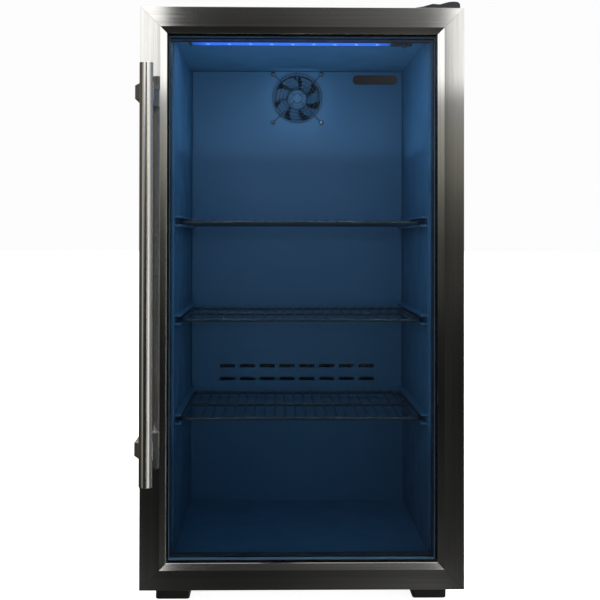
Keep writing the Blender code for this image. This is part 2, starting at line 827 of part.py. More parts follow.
def make_door_frame():
    """Black inner frame that carries the trim, the glass and the seal."""
    inset = TRIM_THICK + GAP
    outer = (-HALF + inset, DOOR_BOTTOM + inset, HALF - inset, DOOR_TOP - inset)
    window = TRIM_EDGE + 0.003
    inner = (-HALF + window, DOOR_BOTTOM + window, HALF - window, DOOR_TOP - window)
    front = DOOR_FACE + TRIM_THICK + GAP
    back = DOOR_FACE + DOOR_THICK
    frame = frame_ring("door_frame", outer, inner, front, back)
    lap = TRIM_EDGE - PANE_LAP - GAP
    glass_back = GLASS_DEPTH + 2 * GLASS_THICK + GLASS_SPACE + 3 * GAP
    rebate = box(
        "rebate",
        (-HALF + lap, front - 0.01, DOOR_BOTTOM + lap),
        (HALF - lap, DOOR_FACE + glass_back, DOOR_TOP - lap),
    )
    step = TRIM_FLAT - 0.0003
    recess = box(
        "recess",
        (-HALF + step, front - 0.01, DOOR_BOTTOM + step),
        (HALF - step, DOOR_FACE + 0.0037, DOOR_TOP - step),
    )
    cut(frame, rebate, recess)
    for z in (DOOR_BOTTOM, DOOR_TOP):
        cut(frame, rod("bush", (HINGE_X, HINGE_Y, z), BUSH + GAP, -0.022, 0.022))
    for level in BRACKET_LEVELS.values():
        cut(frame, rod("screw", (-HALF, BRACKET_SCREW_Y, level), 0.0025, -0.01, 0.015, "X", 12))
    return frame


def make_glazing():
    """Two panes with a spacer ring between them."""
    lap = TRIM_EDGE - PANE_LAP
    x, low, high = HALF - lap, DOOR_BOTTOM + lap, DOOR_TOP - lap
    made = []
    depth = GLASS_DEPTH
    made.append(box("glass_outer", (-x, DOOR_FACE + depth, low),
                    (x, DOOR_FACE + depth + GLASS_THICK, high)))
    depth += GLASS_THICK + GAP
    edge, bar = 0.0030, 0.0110
    outer = (-x + edge, low + edge, x - edge, high - edge)
    inner = (-x + bar, low + bar, x - bar, high - bar)
    made.append(frame_ring("glass_spacer", outer, inner,
                           DOOR_FACE + depth, DOOR_FACE + depth + GLASS_SPACE))
    depth += GLASS_SPACE + GAP
    made.append(box("glass_inner", (-x, DOOR_FACE + depth, low),
                    (x, DOOR_FACE + depth + GLASS_THICK, high)))
    return made


def make_gasket():
    """Soft magnetic seal round the back of the door."""
    back = DOOR_FACE + DOOR_THICK + GAP
    outer = (-HALF + GASKET_IN, DOOR_BOTTOM + GASKET_IN, HALF - GASKET_IN, DOOR_TOP - GASKET_IN)
    inner = (-HALF + GASKET_OUT, DOOR_BOTTOM + GASKET_OUT, HALF - GASKET_OUT, DOOR_TOP - GASKET_OUT)
    return frame_ring("door_gasket", outer, inner, back, CABINET_FRONT - GAP)


def make_nameplate():
    """Blank plate on the glass, with rounded ends."""
    half, radius = 0.0310, 0.0065
    right = arc((half - radius, 0.0), radius, -90, 90, 8)
    left = arc((-half + radius, 0.0), radius, 90, 270, 8)
    outline = [(a + 0.100, b + 0.728) for a, b in right + left]
    glass = DOOR_FACE + GLASS_DEPTH
    return prism("nameplate", outline, "Y", glass - GAP - 0.0010, glass - GAP)


def make_bar():
    """Straight round grip with small chamfers at its flat ends."""
    edge = 0.0008
    profile = [
        (0.0, BAR_BOTTOM),
        (BAR_R - edge, BAR_BOTTOM),
        (BAR_R, BAR_BOTTOM + edge),
        (BAR_R, BAR_TOP - edge),
        (BAR_R - edge, BAR_TOP),
        (0.0, BAR_TOP),
    ]
    return turned("handle_bar", profile, (BAR_X, BAR_Y, 0.0), "Z", 28)


def make_bracket(name, level):
    """Cast bracket: a plate on the door's edge and a neck forward to the bar."""
    edge, skin = -HALF - GAP, -HALF - 0.0043
    outline = [
        (edge, DOOR_FACE + 0.028),
        (edge, DOOR_FACE - 0.013),
        (BAR_X + 0.0065, DOOR_FACE - 0.030),
        (BAR_X + 0.0065, BAR_Y + 0.004),
        (BAR_X - 0.0065, BAR_Y + 0.004),
        (BAR_X - 0.0065, DOOR_FACE - 0.038),
        (skin, DOOR_FACE - 0.020),
        (skin, DOOR_FACE + 0.028),
    ]
    bracket = prism(name, outline, "Z", level - BRACKET_HALF, level + BRACKET_HALF)
    for vertex in bracket.data.vertices:
        if vertex.co.x < skin + 1e-5 or vertex.co.y < BAR_Y + 0.005:
            vertex.co.z = level + (vertex.co.z - level) * 0.75
    cut(bracket, rod("saddle", (BAR_X, BAR_Y, level), BAR_R + GAP, -0.03, 0.03, "Z", 28))
    centre = (skin, BRACKET_SCREW_Y, level)
    cut(bracket, rod("head", centre, 0.0044, -0.01, 0.0022, "X", 16))
    return cut(bracket, rod("shank", centre, 0.0025, -0.01, 0.01, "X", 12))


def make_bush(name, face, sign):
    """Flanged plastic bush pressed into the door for a hinge pin."""
    height = 0.0012
    profile = [
        (PIN + 0.0004, -0.019),
        (BUSH, -0.019),
        (BUSH, GAP),
        (BUSH + 0.0025, GAP),
        (BUSH + 0.0025, GAP + height),
        (PIN + 0.0004, GAP + height),
    ]
    return turned(name, [(r, face + sign * h) for r, h in profile], (HINGE_X, HINGE_Y, 0.0), "Z", 20)


# ---------------------------------------------------------------- hinges and feet
ARM_BOTTOM = DOOR_TOP + 0.0020
ARM_TOP = ARM_BOTTOM + 0.0025
LOWER_TOP = DOOR_BOTTOM - 0.0018
LOWER_BOTTOM = CABINET_BOTTOM - GAP - 0.0024
COVER_LEFT = 0.1515                # left end of the hinge cover


def make_hinge_bracket_top():
    """Steel plate on the cabinet's top that steps up and reaches over the door."""
    base = CABINET_TOP + GAP
    plate = box(
        "hinge_bracket_top",
        (0.1620, CABINET_FRONT + 0.004, base),
        (HINGE_X + 0.0105, CABINET_FRONT + 0.044, base + 0.0025),
    )
    riser = box(
        "riser",
        (HINGE_X - 0.0130, CABINET_FRONT + 0.004, base + 0.0010),
        (HINGE_X + 0.0105, CABINET_FRONT + 0.0070, ARM_TOP - 0.0002),
    )
    arm = box(
        "arm",
        (HINGE_X - 0.0130, HINGE_Y - 0.0095, ARM_BOTTOM),
        (HINGE_X + 0.0105, CABINET_FRONT + 0.0065, ARM_TOP),
    )
    join(plate, riser, arm)
    pin = rod("pin", (HINGE_X, HINGE_Y, ARM_TOP), PIN + GAP, -0.01, 0.01)
    screws = [rod("screw", (x, CABINET_FRONT + 0.027, base), 0.0026, -0.01, 0.01, sides=12)
              for x in (0.172, 0.200)]
    return cut(plate, pin, *screws)


def make_hinge_pin_top():
    profile = [
        (0.0, ARM_TOP - 0.0190),
        (PIN - 0.0005, ARM_TOP - 0.0190),
        (PIN, ARM_TOP - 0.0180),
        (PIN, ARM_TOP + GAP),
        (0.0050, ARM_TOP + GAP),
        (0.0050, ARM_TOP + 0.0015),
        (0.0042, ARM_TOP + 0.0022),
        (0.0, ARM_TOP + 0.0022),
    ]
    return turned("hinge_pin_top", profile, (HINGE_X, HINGE_Y, 0.0), "Z", 20)


def cover_outline(skin, low):
    """Front outline of the hinge cover, inset by skin, down to low."""
    s = skin
    return [
        (COVER_LEFT + s * 2.5, low),
        (COVER_LEFT + s * 2.5, 0.8294 - s * 0.4),
        (0.1680, 0.8321 - s),
        (0.1800, 0.8356 - s),
        (0.1830, 0.8358 - s),
        (0.1914, 0.8352 - s),
        (0.1990, 0.8374 - s),
        (0.2053, 0.8388 - s),
        (0.2105, 0.8392 - s),
        (0.2150, 0.8389 - s),
        (0.2180 - s * 0.5, 0.8376 - s * 0.9),
        (0.2194 - s * 0.8, 0.8355 - s * 0.6),
        (0.2196 - s, 0.8325 - s * 0.3),
        (0.2196 - s, low),
    ]


def make_hinge_cover():
    """Black plastic cap over the top hinge, highest over the pin."""
    skin = 0.0012
    front, back = HINGE_Y - 0.0120, CABINET_FRONT + 0.047
    foot = CABINET_TOP + GAP
    cover = prism("hinge_cover_top", cover_outline(0.0, foot), "Y", front, back)
    over_door = box("over_door", (0.10, front - 0.01, 0.80),
                    (0.30, CABINET_FRONT - 0.002, ARM_BOTTOM - 0.0004))
    hollow = prism("hollow", cover_outline(skin, foot - 0.01), "Y", front + skin, back - skin)
    return cut(cover, over_door, hollow)


def make_hinge_bracket_bottom():
    """Steel plate under the cabinet that reaches forward under the door."""
    outline = [
        (0.1540, CABINET_FRONT + 0.045),
        (HALF - 0.0030, CABINET_FRONT + 0.045),
        (HALF - 0.0030, HINGE_Y + 0.004),
        (HINGE_X + 0.0090, HINGE_Y - 0.0095),
        (HINGE_X - 0.0090, HINGE_Y - 0.0095),
        (0.1540, CABINET_FRONT + 0.0020),
    ]
    bracket = prism("hinge_bracket_bottom", outline, "Z", LOWER_BOTTOM, LOWER_TOP)
    pin = rod("pin", (HINGE_X, HINGE_Y, LOWER_TOP), PIN + GAP, -0.01, 0.01)
    return cut(bracket, pin, stem_hole(1, FOOT_STEM + 0.0005))


def make_hinge_pin_bottom():
    profile = [
        (0.0, LOWER_BOTTOM - 0.0018),
        (0.0050, LOWER_BOTTOM - 0.0018),
        (0.0050, LOWER_BOTTOM - GAP),
        (PIN, LOWER_BOTTOM - GAP),
        (PIN, LOWER_TOP + 0.0170),
        (PIN - 0.0005, LOWER_TOP + 0.0180),
        (0.0, LOWER_TOP + 0.0180),
    ]
    return turned("hinge_pin_bottom", profile, (HINGE_X, HINGE_Y, 0.0), "Z", 20)


def make_front_foot(name, side):
    """Levelling foot: a square pad on a threaded stem that goes up into the cabinet."""
    half, corner, edge = FOOT_HALF, 0.0030, 0.0012
    outline = []
    for turn, (sx, sy) in enumerate(((1, 1), (-1, 1), (-1, -1), (1, -1))):
        centre = (sx * (half - corner), sy * (half - corner))
        outline += arc(centre, corner, turn * 90, turn * 90 + 90, 4)
    bm = bmesh.new()
    rings = []
    for shrink, z in ((edge, 0.0), (0.0, edge), (0.0, 0.0140), (edge, 0.0140 + edge)):
        scale = (half - shrink) / half
        rings.append([bm.verts.new((x * scale, y * scale, z)) for x, y in outline])
    count = len(outline)
    for low, high in zip(rings, rings[1:]):
        for k in range(count):
            n = (k + 1) % count
            bm.faces.new((low[k], low[n], high[n], high[k]))
    bm.faces.new(list(reversed(rings[0])))
    bm.faces.new(rings[-1])
    foot = finish_mesh(bm, name)
    profile = [
        (0.0, 0.0100),
        (0.0095, 0.0100),
        (0.0095, 0.0200),
        (0.0085, 0.0208),
        (FOOT_STEM, 0.0208),
        (FOOT_STEM, 0.0440),
        (0.0, 0.0440),
    ]
    join(foot, turned("stem", profile, (0, 0, 0), "Z", 20))
    foot.data.transform(Matrix.Translation((side * FOOT_X, FOOT_Y, 0.0)))
    return move_origin(foot, (side * FOOT_X, FOOT_Y, 0.0))


def make_rear_foot(name, side):
    """Fixed rear foot, pushed into the compressor tray."""
    profile = [
        (0.0, 0.0),
        (0.0160, 0.0),
        (0.0175, 0.0020),
        (0.0150, CABINET_BOTTOM - GAP),
        (0.0040, CABINET_BOTTOM - GAP),
        (0.0040, CABINET_BOTTOM + 0.0050),
        (0.0, CABINET_BOTTOM + 0.0050),
    ]
    return turned(name, profile, (side * FOOT_X, REAR_FOOT_Y, 0.0), "Z", 20)


# ---------------------------------------------------------------- compressor bay
def make_tray():
    """Galvanised tray across the bay that carries the compressor and rear feet."""
    inside = HALF - SHEET - GAP
    thick = 0.0015
    front, back = BAY_FRONT + GAP, CABINET_BACK - 0.001
    tray = box("compressor_tray", (-inside, front, CABINET_BOTTOM), (inside, back, CABINET_BOTTOM + 0.016))
    trough = box(
        "trough",
        (-inside + thick, front - 0.01, CABINET_BOTTOM + thick),
        (inside - thick, back + 0.01, CABINET_BOTTOM + 0.03),
    )
    holes = [rod("hole", (side * FOOT_X, REAR_FOOT_Y, CABINET_BOTTOM), 0.0045, -0.01, 0.01, sides=12)
             for side in (-1, 1)]
    pegs = [rod("hole", (*spot, CABINET_BOTTOM), 0.0035, -0.01, 0.01, sides=12) for spot in mount_spots()]
    return cut(tray, trough, *holes, *pegs)


def mount_spots():
    """Where the compressor's four rubber feet stand."""
    return [
        (COMPRESSOR.x + sx * MOUNT_X, COMPRESSOR.y + sy * MOUNT_Y)
        for sx in (-1, 1)
        for sy in (-1, 1)
    ]


def oval_ring(bm, x, y, z, sides):
    """One rounded-oval ring of the compressor's shell."""
    ring = []
    for k in range(sides):
        angle = 2 * math.pi * k / sides
        c, s = math.cos(angle), math.sin(angle)
        px = math.copysign(abs(c) ** 0.8, c) * x
        py = math.copysign(abs(s) ** 0.8, s) * y
        ring.append(bm.verts.new((COMPRESSOR.x + px, COMPRESSOR.y + py, COMPRESSOR.z + z)))
    return ring


def make_compressor():
    """Welded pot: lower bowl, seam, upper dome, and a foot plate with four holes."""
    sides = 22
    bm = bmesh.new()
    sections = [(0.62, 0.000), (0.86, 0.008), (0.94, 0.024), (0.95, 0.060), (1.00, 0.062), (1.00, 0.068)]
    sections += [(0.95, 0.070), (0.94, 0.096)]
    for k in range(1, 5):
        angle = math.radians(18 * k)
        sections.append((0.94 * math.cos(angle) ** 0.7, 0.096 + (COMP_HIGH - 0.096) * math.sin(angle)))
    rings = [oval_ring(bm, COMP_X * scale, COMP_Y * scale, z, sides) for scale, z in sections]
    bm.faces.new(rings[0])
    bm.faces.new(rings[-1])
    for one, two in zip(rings, rings[1:]):
        for k in range(sides):
            n = (k + 1) % sides
            bm.faces.new((one[k], one[n], two[n], two[k]))
    pot = finish_mesh(bm, "compressor")
    reach_x, reach_y = MOUNT_X + 0.010, MOUNT_Y + 0.009
    plate = box(
        "plate",
        (COMPRESSOR.x - reach_x, COMPRESSOR.y - reach_y, COMPRESSOR.z - 0.0010),
        (COMPRESSOR.x + reach_x, COMPRESSOR.y + reach_y, COMPRESSOR.z + 0.0015),
    )
    join(pot, plate)
    holes = [rod("hole", (*spot, COMPRESSOR.z), 0.0050, -0.01, 0.005, sides=12) for spot in mount_spots()]
    return cut(pot, *holes)


def make_compressor_mounts():
    """Rubber feet: a peg in the tray, a waist through the foot plate and a cap."""
    plate_low = COMPRESSOR.z - 0.0010
    made = []
    for k, spot in enumerate(mount_spots()):
        profile = [
            (0.0, CABINET_BOTTOM),
            (0.0030, CABINET_BOTTOM),
            (0.0030, CABINET_BOTTOM + 0.0015 + GAP),
            (0.0080, CABINET_BOTTOM + 0.0015 + GAP),
            (0.0070, plate_low - GAP),
            (0.0045, plate_low - GAP),
            (0.0045, plate_low + 0.0025 + GAP),
            (0.0060, plate_low + 0.0025 + GAP),
            (0.0045, plate_low + 0.0075),
            (0.0, plate_low + 0.0075),
        ]
        made.append(turned(f"compressor_mount_{k + 1}", profile, (*spot, 0.0), "Z", 12))
    return made


def make_relay_box():
    """Start relay cover beside the compressor's terminals."""
    side = COMPRESSOR.x - COMP_X - 0.001
    body = box("relay_box", (side - 0.032, COMPRESSOR.y - 0.026, 0.070),
               (side, COMPRESSOR.y + 0.026, 0.130))
    lip = box("lip", (side - 0.034, COMPRESSOR.y - 0.028, 0.066),
              (side - 0.024, COMPRESSOR.y + 0.028, 0.134))
    return join(body, lip)


def make_bay_tubes():
    """Suction and discharge tubes and the drier, up to the bay's ceiling."""
    top = BAY_TOP - PLATE - GAP
    right = COMPRESSOR.x + COMP_X * 0.95 + GAP + 0.0035
    start_z = COMPRESSOR.z + 0.086
    made = []
    for name, y, reach, radius in (
        ("suction_tube", COMPRESSOR.y + 0.016, 0.030, 0.0035),
        ("discharge_tube", COMPRESSOR.y - 0.016, 0.048, 0.0026),
    ):
        bend = arc((right + reach - 0.018, start_z + 0.018), 0.018, -90, 0, 6)
        points = [(right - 0.0030, y, start_z)] + [(a, y, b) for a, b in bend] + [(right + reach, y, top)]
        made.append(swept(name, points, radius, 8))
    bottom = CABINET_BOTTOM + 0.0015 + GAP
    profile = [
        (0.0, bottom),
        (0.0030, bottom),
        (0.0030, 0.078),
        (0.0095, 0.088),
        (0.0095, 0.160),
        (0.0030, 0.172),
        (0.0030, top),
        (0.0, top),
    ]
    made.append(turned("filter_drier", profile, (-0.125, COMPRESSOR.y, 0.0), "Z", 16))
    return made


def make_drip_tray():
    """Plastic dish over the compressor, where melt water dries off."""
    low = COMPRESSOR.z + COMP_HIGH + 0.0010
    high = BAY_TOP - PLATE - 0.0080
    tray = box("drip_tray", (-0.055, BAY_FRONT + 0.004, low), (0.110, CABINET_BACK - 0.006, high))
    dish = box("dish", (-0.053, BAY_FRONT + 0.006, low + 0.002), (0.108, CABINET_BACK - 0.008, high + 0.01))
    return cut(tray, dish)


def make_drain_tube():
    """Drain from behind the evaporator cover down to the drip tray."""
    low, high = COMPRESSOR.z + COMP_HIGH + 0.0100, HUMP_TOP + 0.0008
    profile = [(0.0042, low), (0.0060, low), (0.0060, high), (0.0042, high)]
    return turned("drain_tube", profile, (DRAIN_X, DRAIN_Y, 0.0), "Z", 16)


def make_rear_cover():
    """Vented cover over the bay, standing proud of the back."""
    face = CABINET_BACK + GAP
    skin = 0.0015
    low, high = CABINET_BOTTOM + 0.002, BAY_TOP + 0.0160
    cover = box("rear_cover", (-HALF + 0.0015, face, low), (HALF - 0.0015, face + skin, high))
    bulge_low, bulge_high, bulge_half = low + 0.016, BAY_TOP - 0.008, 0.195
    bulge = box("bulge", (-bulge_half, face + skin / 2, bulge_low), (bulge_half, REAR, bulge_high))
    join(cover, bulge)
    hollow = box(
        "hollow",
        (-bulge_half + skin, face - 0.01, bulge_low + skin),
        (bulge_half - skin, REAR - skin, bulge_high - skin),
    )
    cut(cover, hollow)
    slots = []
    for row in range(2):
        for k in range(13):
            x = (k - 6) * 0.024
            z = bulge_low + 0.022 + row * 0.066
            slots.append(((x - 0.003, REAR - 0.005, z), (x + 0.003, REAR + 0.005, z + 0.052)))
    cut(cover, boxes("slots", slots))
    inlet = rod("inlet", (*inlet_spot(),), 0.0075, -0.01, 0.01, "Y", 20)
    return cut(cover, inlet)


def inlet_spot():
    """Middle of the mains inlet hole on the rear cover's outer face."""
    return (-0.176, REAR, CABINET_BOTTOM + 0.044)


def make_cord_inlet():
    """Grommet in the rear cover where the mains lead goes in."""
    profile = [
        (0.0040, -0.0040),
        (0.0095, -0.0040),
        (0.0095, -0.0018),
        (0.0072, -0.0018),
        (0.0072, -GAP),
        (0.0040, -GAP),
    ]
    return turned("cord_inlet", profile, inlet_spot(), "Y", 20)


# ---------------------------------------------------------------- the object
def build():
    clear_scene()
    done = {}

    def keep(color, *objects):
        for obj in objects:
            shade(paint(obj, color))
            done[obj.name] = obj

    keep("cabinet_black", make_cabinet_shell(), make_back_panel())
    keep("zinc_steel", make_bottom_plate(), make_tray())
    keep("liner_blue", make_liner(), make_evaporator_cover())
    keep("foam", make_foam())
    keep("copper", *make_condenser_coils())
    fins, evaporator_tube = make_evaporator()
    keep("aluminium", fins, evaporator_tube)
    keep("black_wire", make_fan_guard())
    keep("liner_blue", make_fan_frame(), make_fan_blade())
    housing, lens, board = make_lamp()
    keep("black_plastic", housing, make_knob(), make_switch())
    keep("lamp_blue", lens)
    keep("board_white", board)
    keep("black_wire", *[make_shelf(name, level) for name, level in SHELF_LEVELS.items()])

    for side in ("left", "right", "top", "bottom"):
        keep("stainless", make_trim(f"door_trim_{side}", side))
    keep("black_plastic", make_door_frame())
    outer_pane, spacer, inner_pane = make_glazing()
    keep("tinted_glass", outer_pane)
    keep("cabinet_black", spacer)
    keep("clear_glass", inner_pane)
    keep("rubber", make_gasket())
    keep("black_plastic", make_nameplate())
    keep("bright_steel", make_bar())
    keep("bright_steel", *[make_bracket(name, level) for name, level in BRACKET_LEVELS.items()])
    keep("black_plastic",
         make_bush("door_bush_top", DOOR_TOP, 1), make_bush("door_bush_bottom", DOOR_BOTTOM, -1))

    keep("zinc_steel", make_hinge_bracket_top(), make_hinge_pin_top())
    keep("black_plastic", make_hinge_cover())
    keep("zinc_steel", make_hinge_bracket_bottom(), make_hinge_pin_bottom())
    keep("black_plastic", make_front_foot("front_foot_left", -1), make_front_foot("front_foot_right", 1))
    keep("black_plastic", make_rear_foot("rear_foot_left", -1), make_rear_foot("rear_foot_right", 1))

    keep("cabinet_black", make_compressor())
    keep("rubber", *make_compressor_mounts())
    keep("black_plastic", make_relay_box(), make_drip_tray(), make_drain_tube())
    keep("copper", *make_bay_tubes())
    keep("cabinet_black", make_rear_cover())
    keep("rubber", make_cord_inlet())

    door = bpy.data.objects.new("door_hinge", None)
    door.location = (HINGE_X, HINGE_Y, DOOR_BOTTOM)
    bpy.context.scene.collection.objects.link(door)
    bpy.context.view_layer.update()
    for name, obj in done.items():
        if name.startswith(("door_", "glass_", "handle_", "nameplate")):
            obj.parent = door
            obj.matrix_parent_inverse = door.matrix_world.inverted()


build()
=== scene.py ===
"""Looks of the glass-door beverage cooler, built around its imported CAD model.

Metres, +Z up, the door faces -Y. Places come from the CAD boxes; sizes that only the looks need
are named below. Each piece keeps its object at the origin, so object coordinates are the
model's own coordinates, and a texture stays on its piece when a joint moves.
"""
import math

import bmesh
import bpy
from mathutils import Matrix, Vector


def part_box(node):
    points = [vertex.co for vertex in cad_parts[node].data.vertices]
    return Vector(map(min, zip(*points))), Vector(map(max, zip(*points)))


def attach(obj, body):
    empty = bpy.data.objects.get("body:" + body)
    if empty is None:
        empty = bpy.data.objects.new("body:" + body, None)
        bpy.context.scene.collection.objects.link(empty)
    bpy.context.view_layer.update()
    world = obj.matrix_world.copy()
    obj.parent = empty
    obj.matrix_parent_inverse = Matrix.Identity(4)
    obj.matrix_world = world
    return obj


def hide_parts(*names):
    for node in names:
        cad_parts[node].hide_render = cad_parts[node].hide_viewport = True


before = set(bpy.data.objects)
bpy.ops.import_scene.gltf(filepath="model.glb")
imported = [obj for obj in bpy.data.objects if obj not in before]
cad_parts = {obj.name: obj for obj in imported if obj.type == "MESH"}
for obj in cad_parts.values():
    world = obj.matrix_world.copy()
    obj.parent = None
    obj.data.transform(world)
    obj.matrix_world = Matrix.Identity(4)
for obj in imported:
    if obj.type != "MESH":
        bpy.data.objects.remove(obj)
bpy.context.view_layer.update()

# ---------------------------------------------------------------- sizes the looks share
WIRE, ROD, WIRE_PITCH = 0.0013, 0.0025, 0.0150
SCREW_RADIUS = 0.0034
DOOR_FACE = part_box("door_trim_left")[0].y


# ---------------------------------------------------------------- mesh helpers
def add_piece(name, bm, body, slot, smooth=40):
    """Make an object from bm, shade it, and let it ride on a body with a slot's finish."""
    bmesh.ops.remove_doubles(bm, verts=bm.verts, dist=1e-6)
    bmesh.ops.recalc_face_normals(bm, faces=bm.faces)
    mesh = bpy.data.meshes.new(name)
    bm.to_mesh(mesh)
    bm.free()
    obj = bpy.data.objects.new(name, mesh)
    bpy.context.scene.collection.objects.link(obj)
    if smooth:
        mesh.shade_smooth()
        mesh.set_sharp_from_angle(angle=math.radians(smooth))
    mesh.materials.append(MATERIALS[slot])
    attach(obj, body)
    return obj


def arc(centre, radius, start, stop, steps):
    """Points of an arc, in degrees, both ends included."""
    cx, cy = centre
    angles = [math.radians(start + (stop - start) * k / steps) for k in range(steps + 1)]
    return [(cx + radius * math.cos(a), cy + radius * math.sin(a)) for a in angles]


def add_tube(bm, points, radius, sides=12, closed=False):
    """Sweep a circle along points."""
    points = [Vector(p) for p in points]
    count = len(points)
    tangents = []
    for k in range(count):
        ahead = points[(k + 1) % count] if closed or k < count - 1 else points[k]
        behind = points[k - 1] if closed or k > 0 else points[k]
        tangents.append((ahead - behind).normalized())
    across = tangents[0].orthogonal().normalized()
    rings = []
    for k in range(count):
        across = (across - tangents[k] * across.dot(tangents[k])).normalized()
        other = tangents[k].cross(across)
        ring = []
        for s in range(sides):
            turn = 2 * math.pi * s / sides
            spoke = (across * math.cos(turn) + other * math.sin(turn)) * radius
            ring.append(bm.verts.new(points[k] + spoke))
        rings.append(ring)
    last = count if closed else count - 1
    for k in range(last):
        a, b = rings[k], rings[(k + 1) % count]
        shift = 0
        if closed and k == count - 1:
            shift = min(range(sides), key=lambda s: (a[0].co - b[s].co).length)
        for s in range(sides):
            n = (s + 1) % sides
            bm.faces.new((a[s], a[n], b[(n + shift) % sides], b[(s + shift) % sides]))
    if not closed:
        bm.faces.new(rings[0][::-1])
        bm.faces.new(rings[-1])


def add_turned(bm, profile, centre, axis="Z", steps=48):
    """Turn a (radius, height) profile about an axis through centre."""
    place = Matrix.Translation(centre) @ AXIS_TURN[axis]
    rings = []
    for radius, height in profile:
        if radius < 1e-7:
            rings.append([bm.verts.new(place @ Vector((0, 0, height)))])
            continue
        ring = []
        for s in range(steps):
            turn = 2 * math.pi * s / steps
            spot = Vector((radius * math.cos(turn), radius * math.sin(turn), height))
            ring.append(bm.verts.new(place @ spot))
        rings.append(ring)
    for a, b in zip(rings, rings[1:]):
        for s in range(steps):
            n = (s + 1) % steps
            if len(a) == 1 and len(b) == 1:
                continue
            if len(a) == 1:
                bm.faces.new((a[0], b[n], b[s]))
            elif len(b) == 1:
                bm.faces.new((a[s], a[n], b[0]))
            else:
                bm.faces.new((a[s], a[n], b[n], b[s]))


AXIS_TURN = {
    "Z": Matrix.Identity(4),
    "Y": Matrix.Rotation(math.radians(-90), 4, "X"),
    "-Y": Matrix.Rotation(math.radians(90), 4, "X"),
    "-Z": Matrix.Rotation(math.radians(180), 4, "X"),
}


def add_rect_sweep(bm, section, half_x, half_z, middle_z):
    """Sweep a closed (inward, depth) section round a rectangle with mitred corners."""
    corners = [(-1, -1), (1, -1), (1, 1), (-1, 1)]
    rings = []
    for sx, sz in corners:
        places = [(sx * (half_x - u), y, middle_z + sz * (half_z - u)) for u, y in section]
        rings.append([bm.verts.new(spot) for spot in places])
    for k in range(4):
        a, b = rings[k], rings[(k + 1) % 4]
        for s in range(len(section)):
            n = (s + 1) % len(section)
            bm.faces.new((a[s], a[n], b[n], b[s]))


# ---------------------------------------------------------------- material helpers
MATERIALS = {}


class Finish:
    """A Principled material whose roughness, colour and bump come from noise."""

    def __init__(self, name, color, roughness, metallic=0.0, slot=None):
        self.material = bpy.data.materials.new(name)
        self.material.use_nodes = True
        self.tree = self.material.node_tree
        self.shader = self.tree.nodes["Principled BSDF"]
        self.color = (*color, 1.0)
        self.roughness = roughness
        self.shader.inputs["Base Color"].default_value = self.color
        self.shader.inputs["Roughness"].default_value = roughness
        self.shader.inputs["Metallic"].default_value = metallic
        self.height = None
        MATERIALS[name] = self.material

    def set(self, socket, value):
        self.shader.inputs[socket].default_value = value
        return self

    def node(self, kind, **values):
        node = self.tree.nodes.new(kind)
        for key, value in values.items():
            if isinstance(value, bpy.types.NodeSocket):
                self.tree.links.new(value, node.inputs[key])
            elif key in node.inputs:
                node.inputs[key].default_value = value
            else:
                setattr(node, key, value)
        return node

    def place(self, stretch=(1, 1, 1), shift=(0, 0, 0)):
        coords = self.node("ShaderNodeTexCoord").outputs["Object"]
        mapping = self.node("ShaderNodeMapping", Vector=coords, Scale=stretch, Location=shift)
        return mapping.outputs[0]

    def noise(self, scale, detail=3.0, stretch=(1, 1, 1), roughness=0.55):
        where = self.place(stretch)
        return self.node(
            "ShaderNodeTexNoise", Vector=where, Scale=scale, Detail=detail, Roughness=roughness
        ).outputs["Fac"]

    def cells(self, scale):
        node = self.node("ShaderNodeTexVoronoi", Vector=self.place())
        node.inputs["Scale"].default_value = scale
        return node.outputs["Distance"]

    def spread(self, source, low, high, start=0.3, stop=0.7):
        """Map a source that mostly lies between start and stop to low..high."""
        node = self.node("ShaderNodeMapRange", Value=source)
        node.inputs["From Min"].default_value = start
        node.inputs["From Max"].default_value = stop
        node.inputs["To Min"].default_value = low
        node.inputs["To Max"].default_value = high
        return node.outputs[0]

    def rough(self, source, low, high, start=0.3, stop=0.7):
        value = self.spread(source, low, high, start, stop)
        self.tree.links.new(value, self.shader.inputs["Roughness"])
        return self

    def tint(self, source, first, second, start=0.3, stop=0.7):
        """Blend the base colour between two colours by a source."""
        ramp = self.node("ShaderNodeValToRGB", Fac=source)
        ramp.color_ramp.elements[0].position = start
        ramp.color_ramp.elements[0].color = (*first, 1.0)
        ramp.color_ramp.elements[1].position = stop
        ramp.color_ramp.elements[1].color = (*second, 1.0)
        self.tree.links.new(ramp.outputs[0], self.shader.inputs["Base Color"])
        return self

    def bump(self, source, depth, strength=1.0):
        """Raise the surface by the source times depth, on top of earlier bumps."""
        node = self.node("ShaderNodeBump", Height=source)
        node.inputs["Distance"].default_value = depth
        node.inputs["Strength"].default_value = strength
        if self.height is not None:
            self.tree.links.new(self.height, node.inputs["Normal"])
        self.height = node.outputs[0]
        self.tree.links.new(self.height, self.shader.inputs["Normal"])
        return self


def brushed(name, grain, color, roughness, slot, anisotropy=0.6):
    """Brushed steel with its grain along X, Y or Z."""
    finish = Finish(name, color, roughness, 1.0, slot)
    along = {"X": 0, "Y": 1, "Z": 2}[grain]
    fine = [1.0, 1.0, 1.0]
    fine[along] = 0.012
    streaks = finish.noise(1500.0, 3.0, fine, 0.6)
    broad = finish.noise(160.0, 3.0, fine, 0.6)
    lighter = tuple(min(1.0, c * 1.10) for c in color)
    darker = tuple(c * 0.90 for c in color)
    finish.tint(broad, darker, lighter)
    finish.rough(streaks, roughness * 0.75, roughness * 1.3)
    finish.bump(streaks, 0.000006, 0.5)
    finish.set("Anisotropic", anisotropy)
    across = "X" if grain == "X" else "Z"
    tangent = finish.node("ShaderNodeTangent", direction_type="RADIAL", axis=across)
    finish.tree.links.new(tangent.outputs[0], finish.shader.inputs["Tangent"])
    return finish


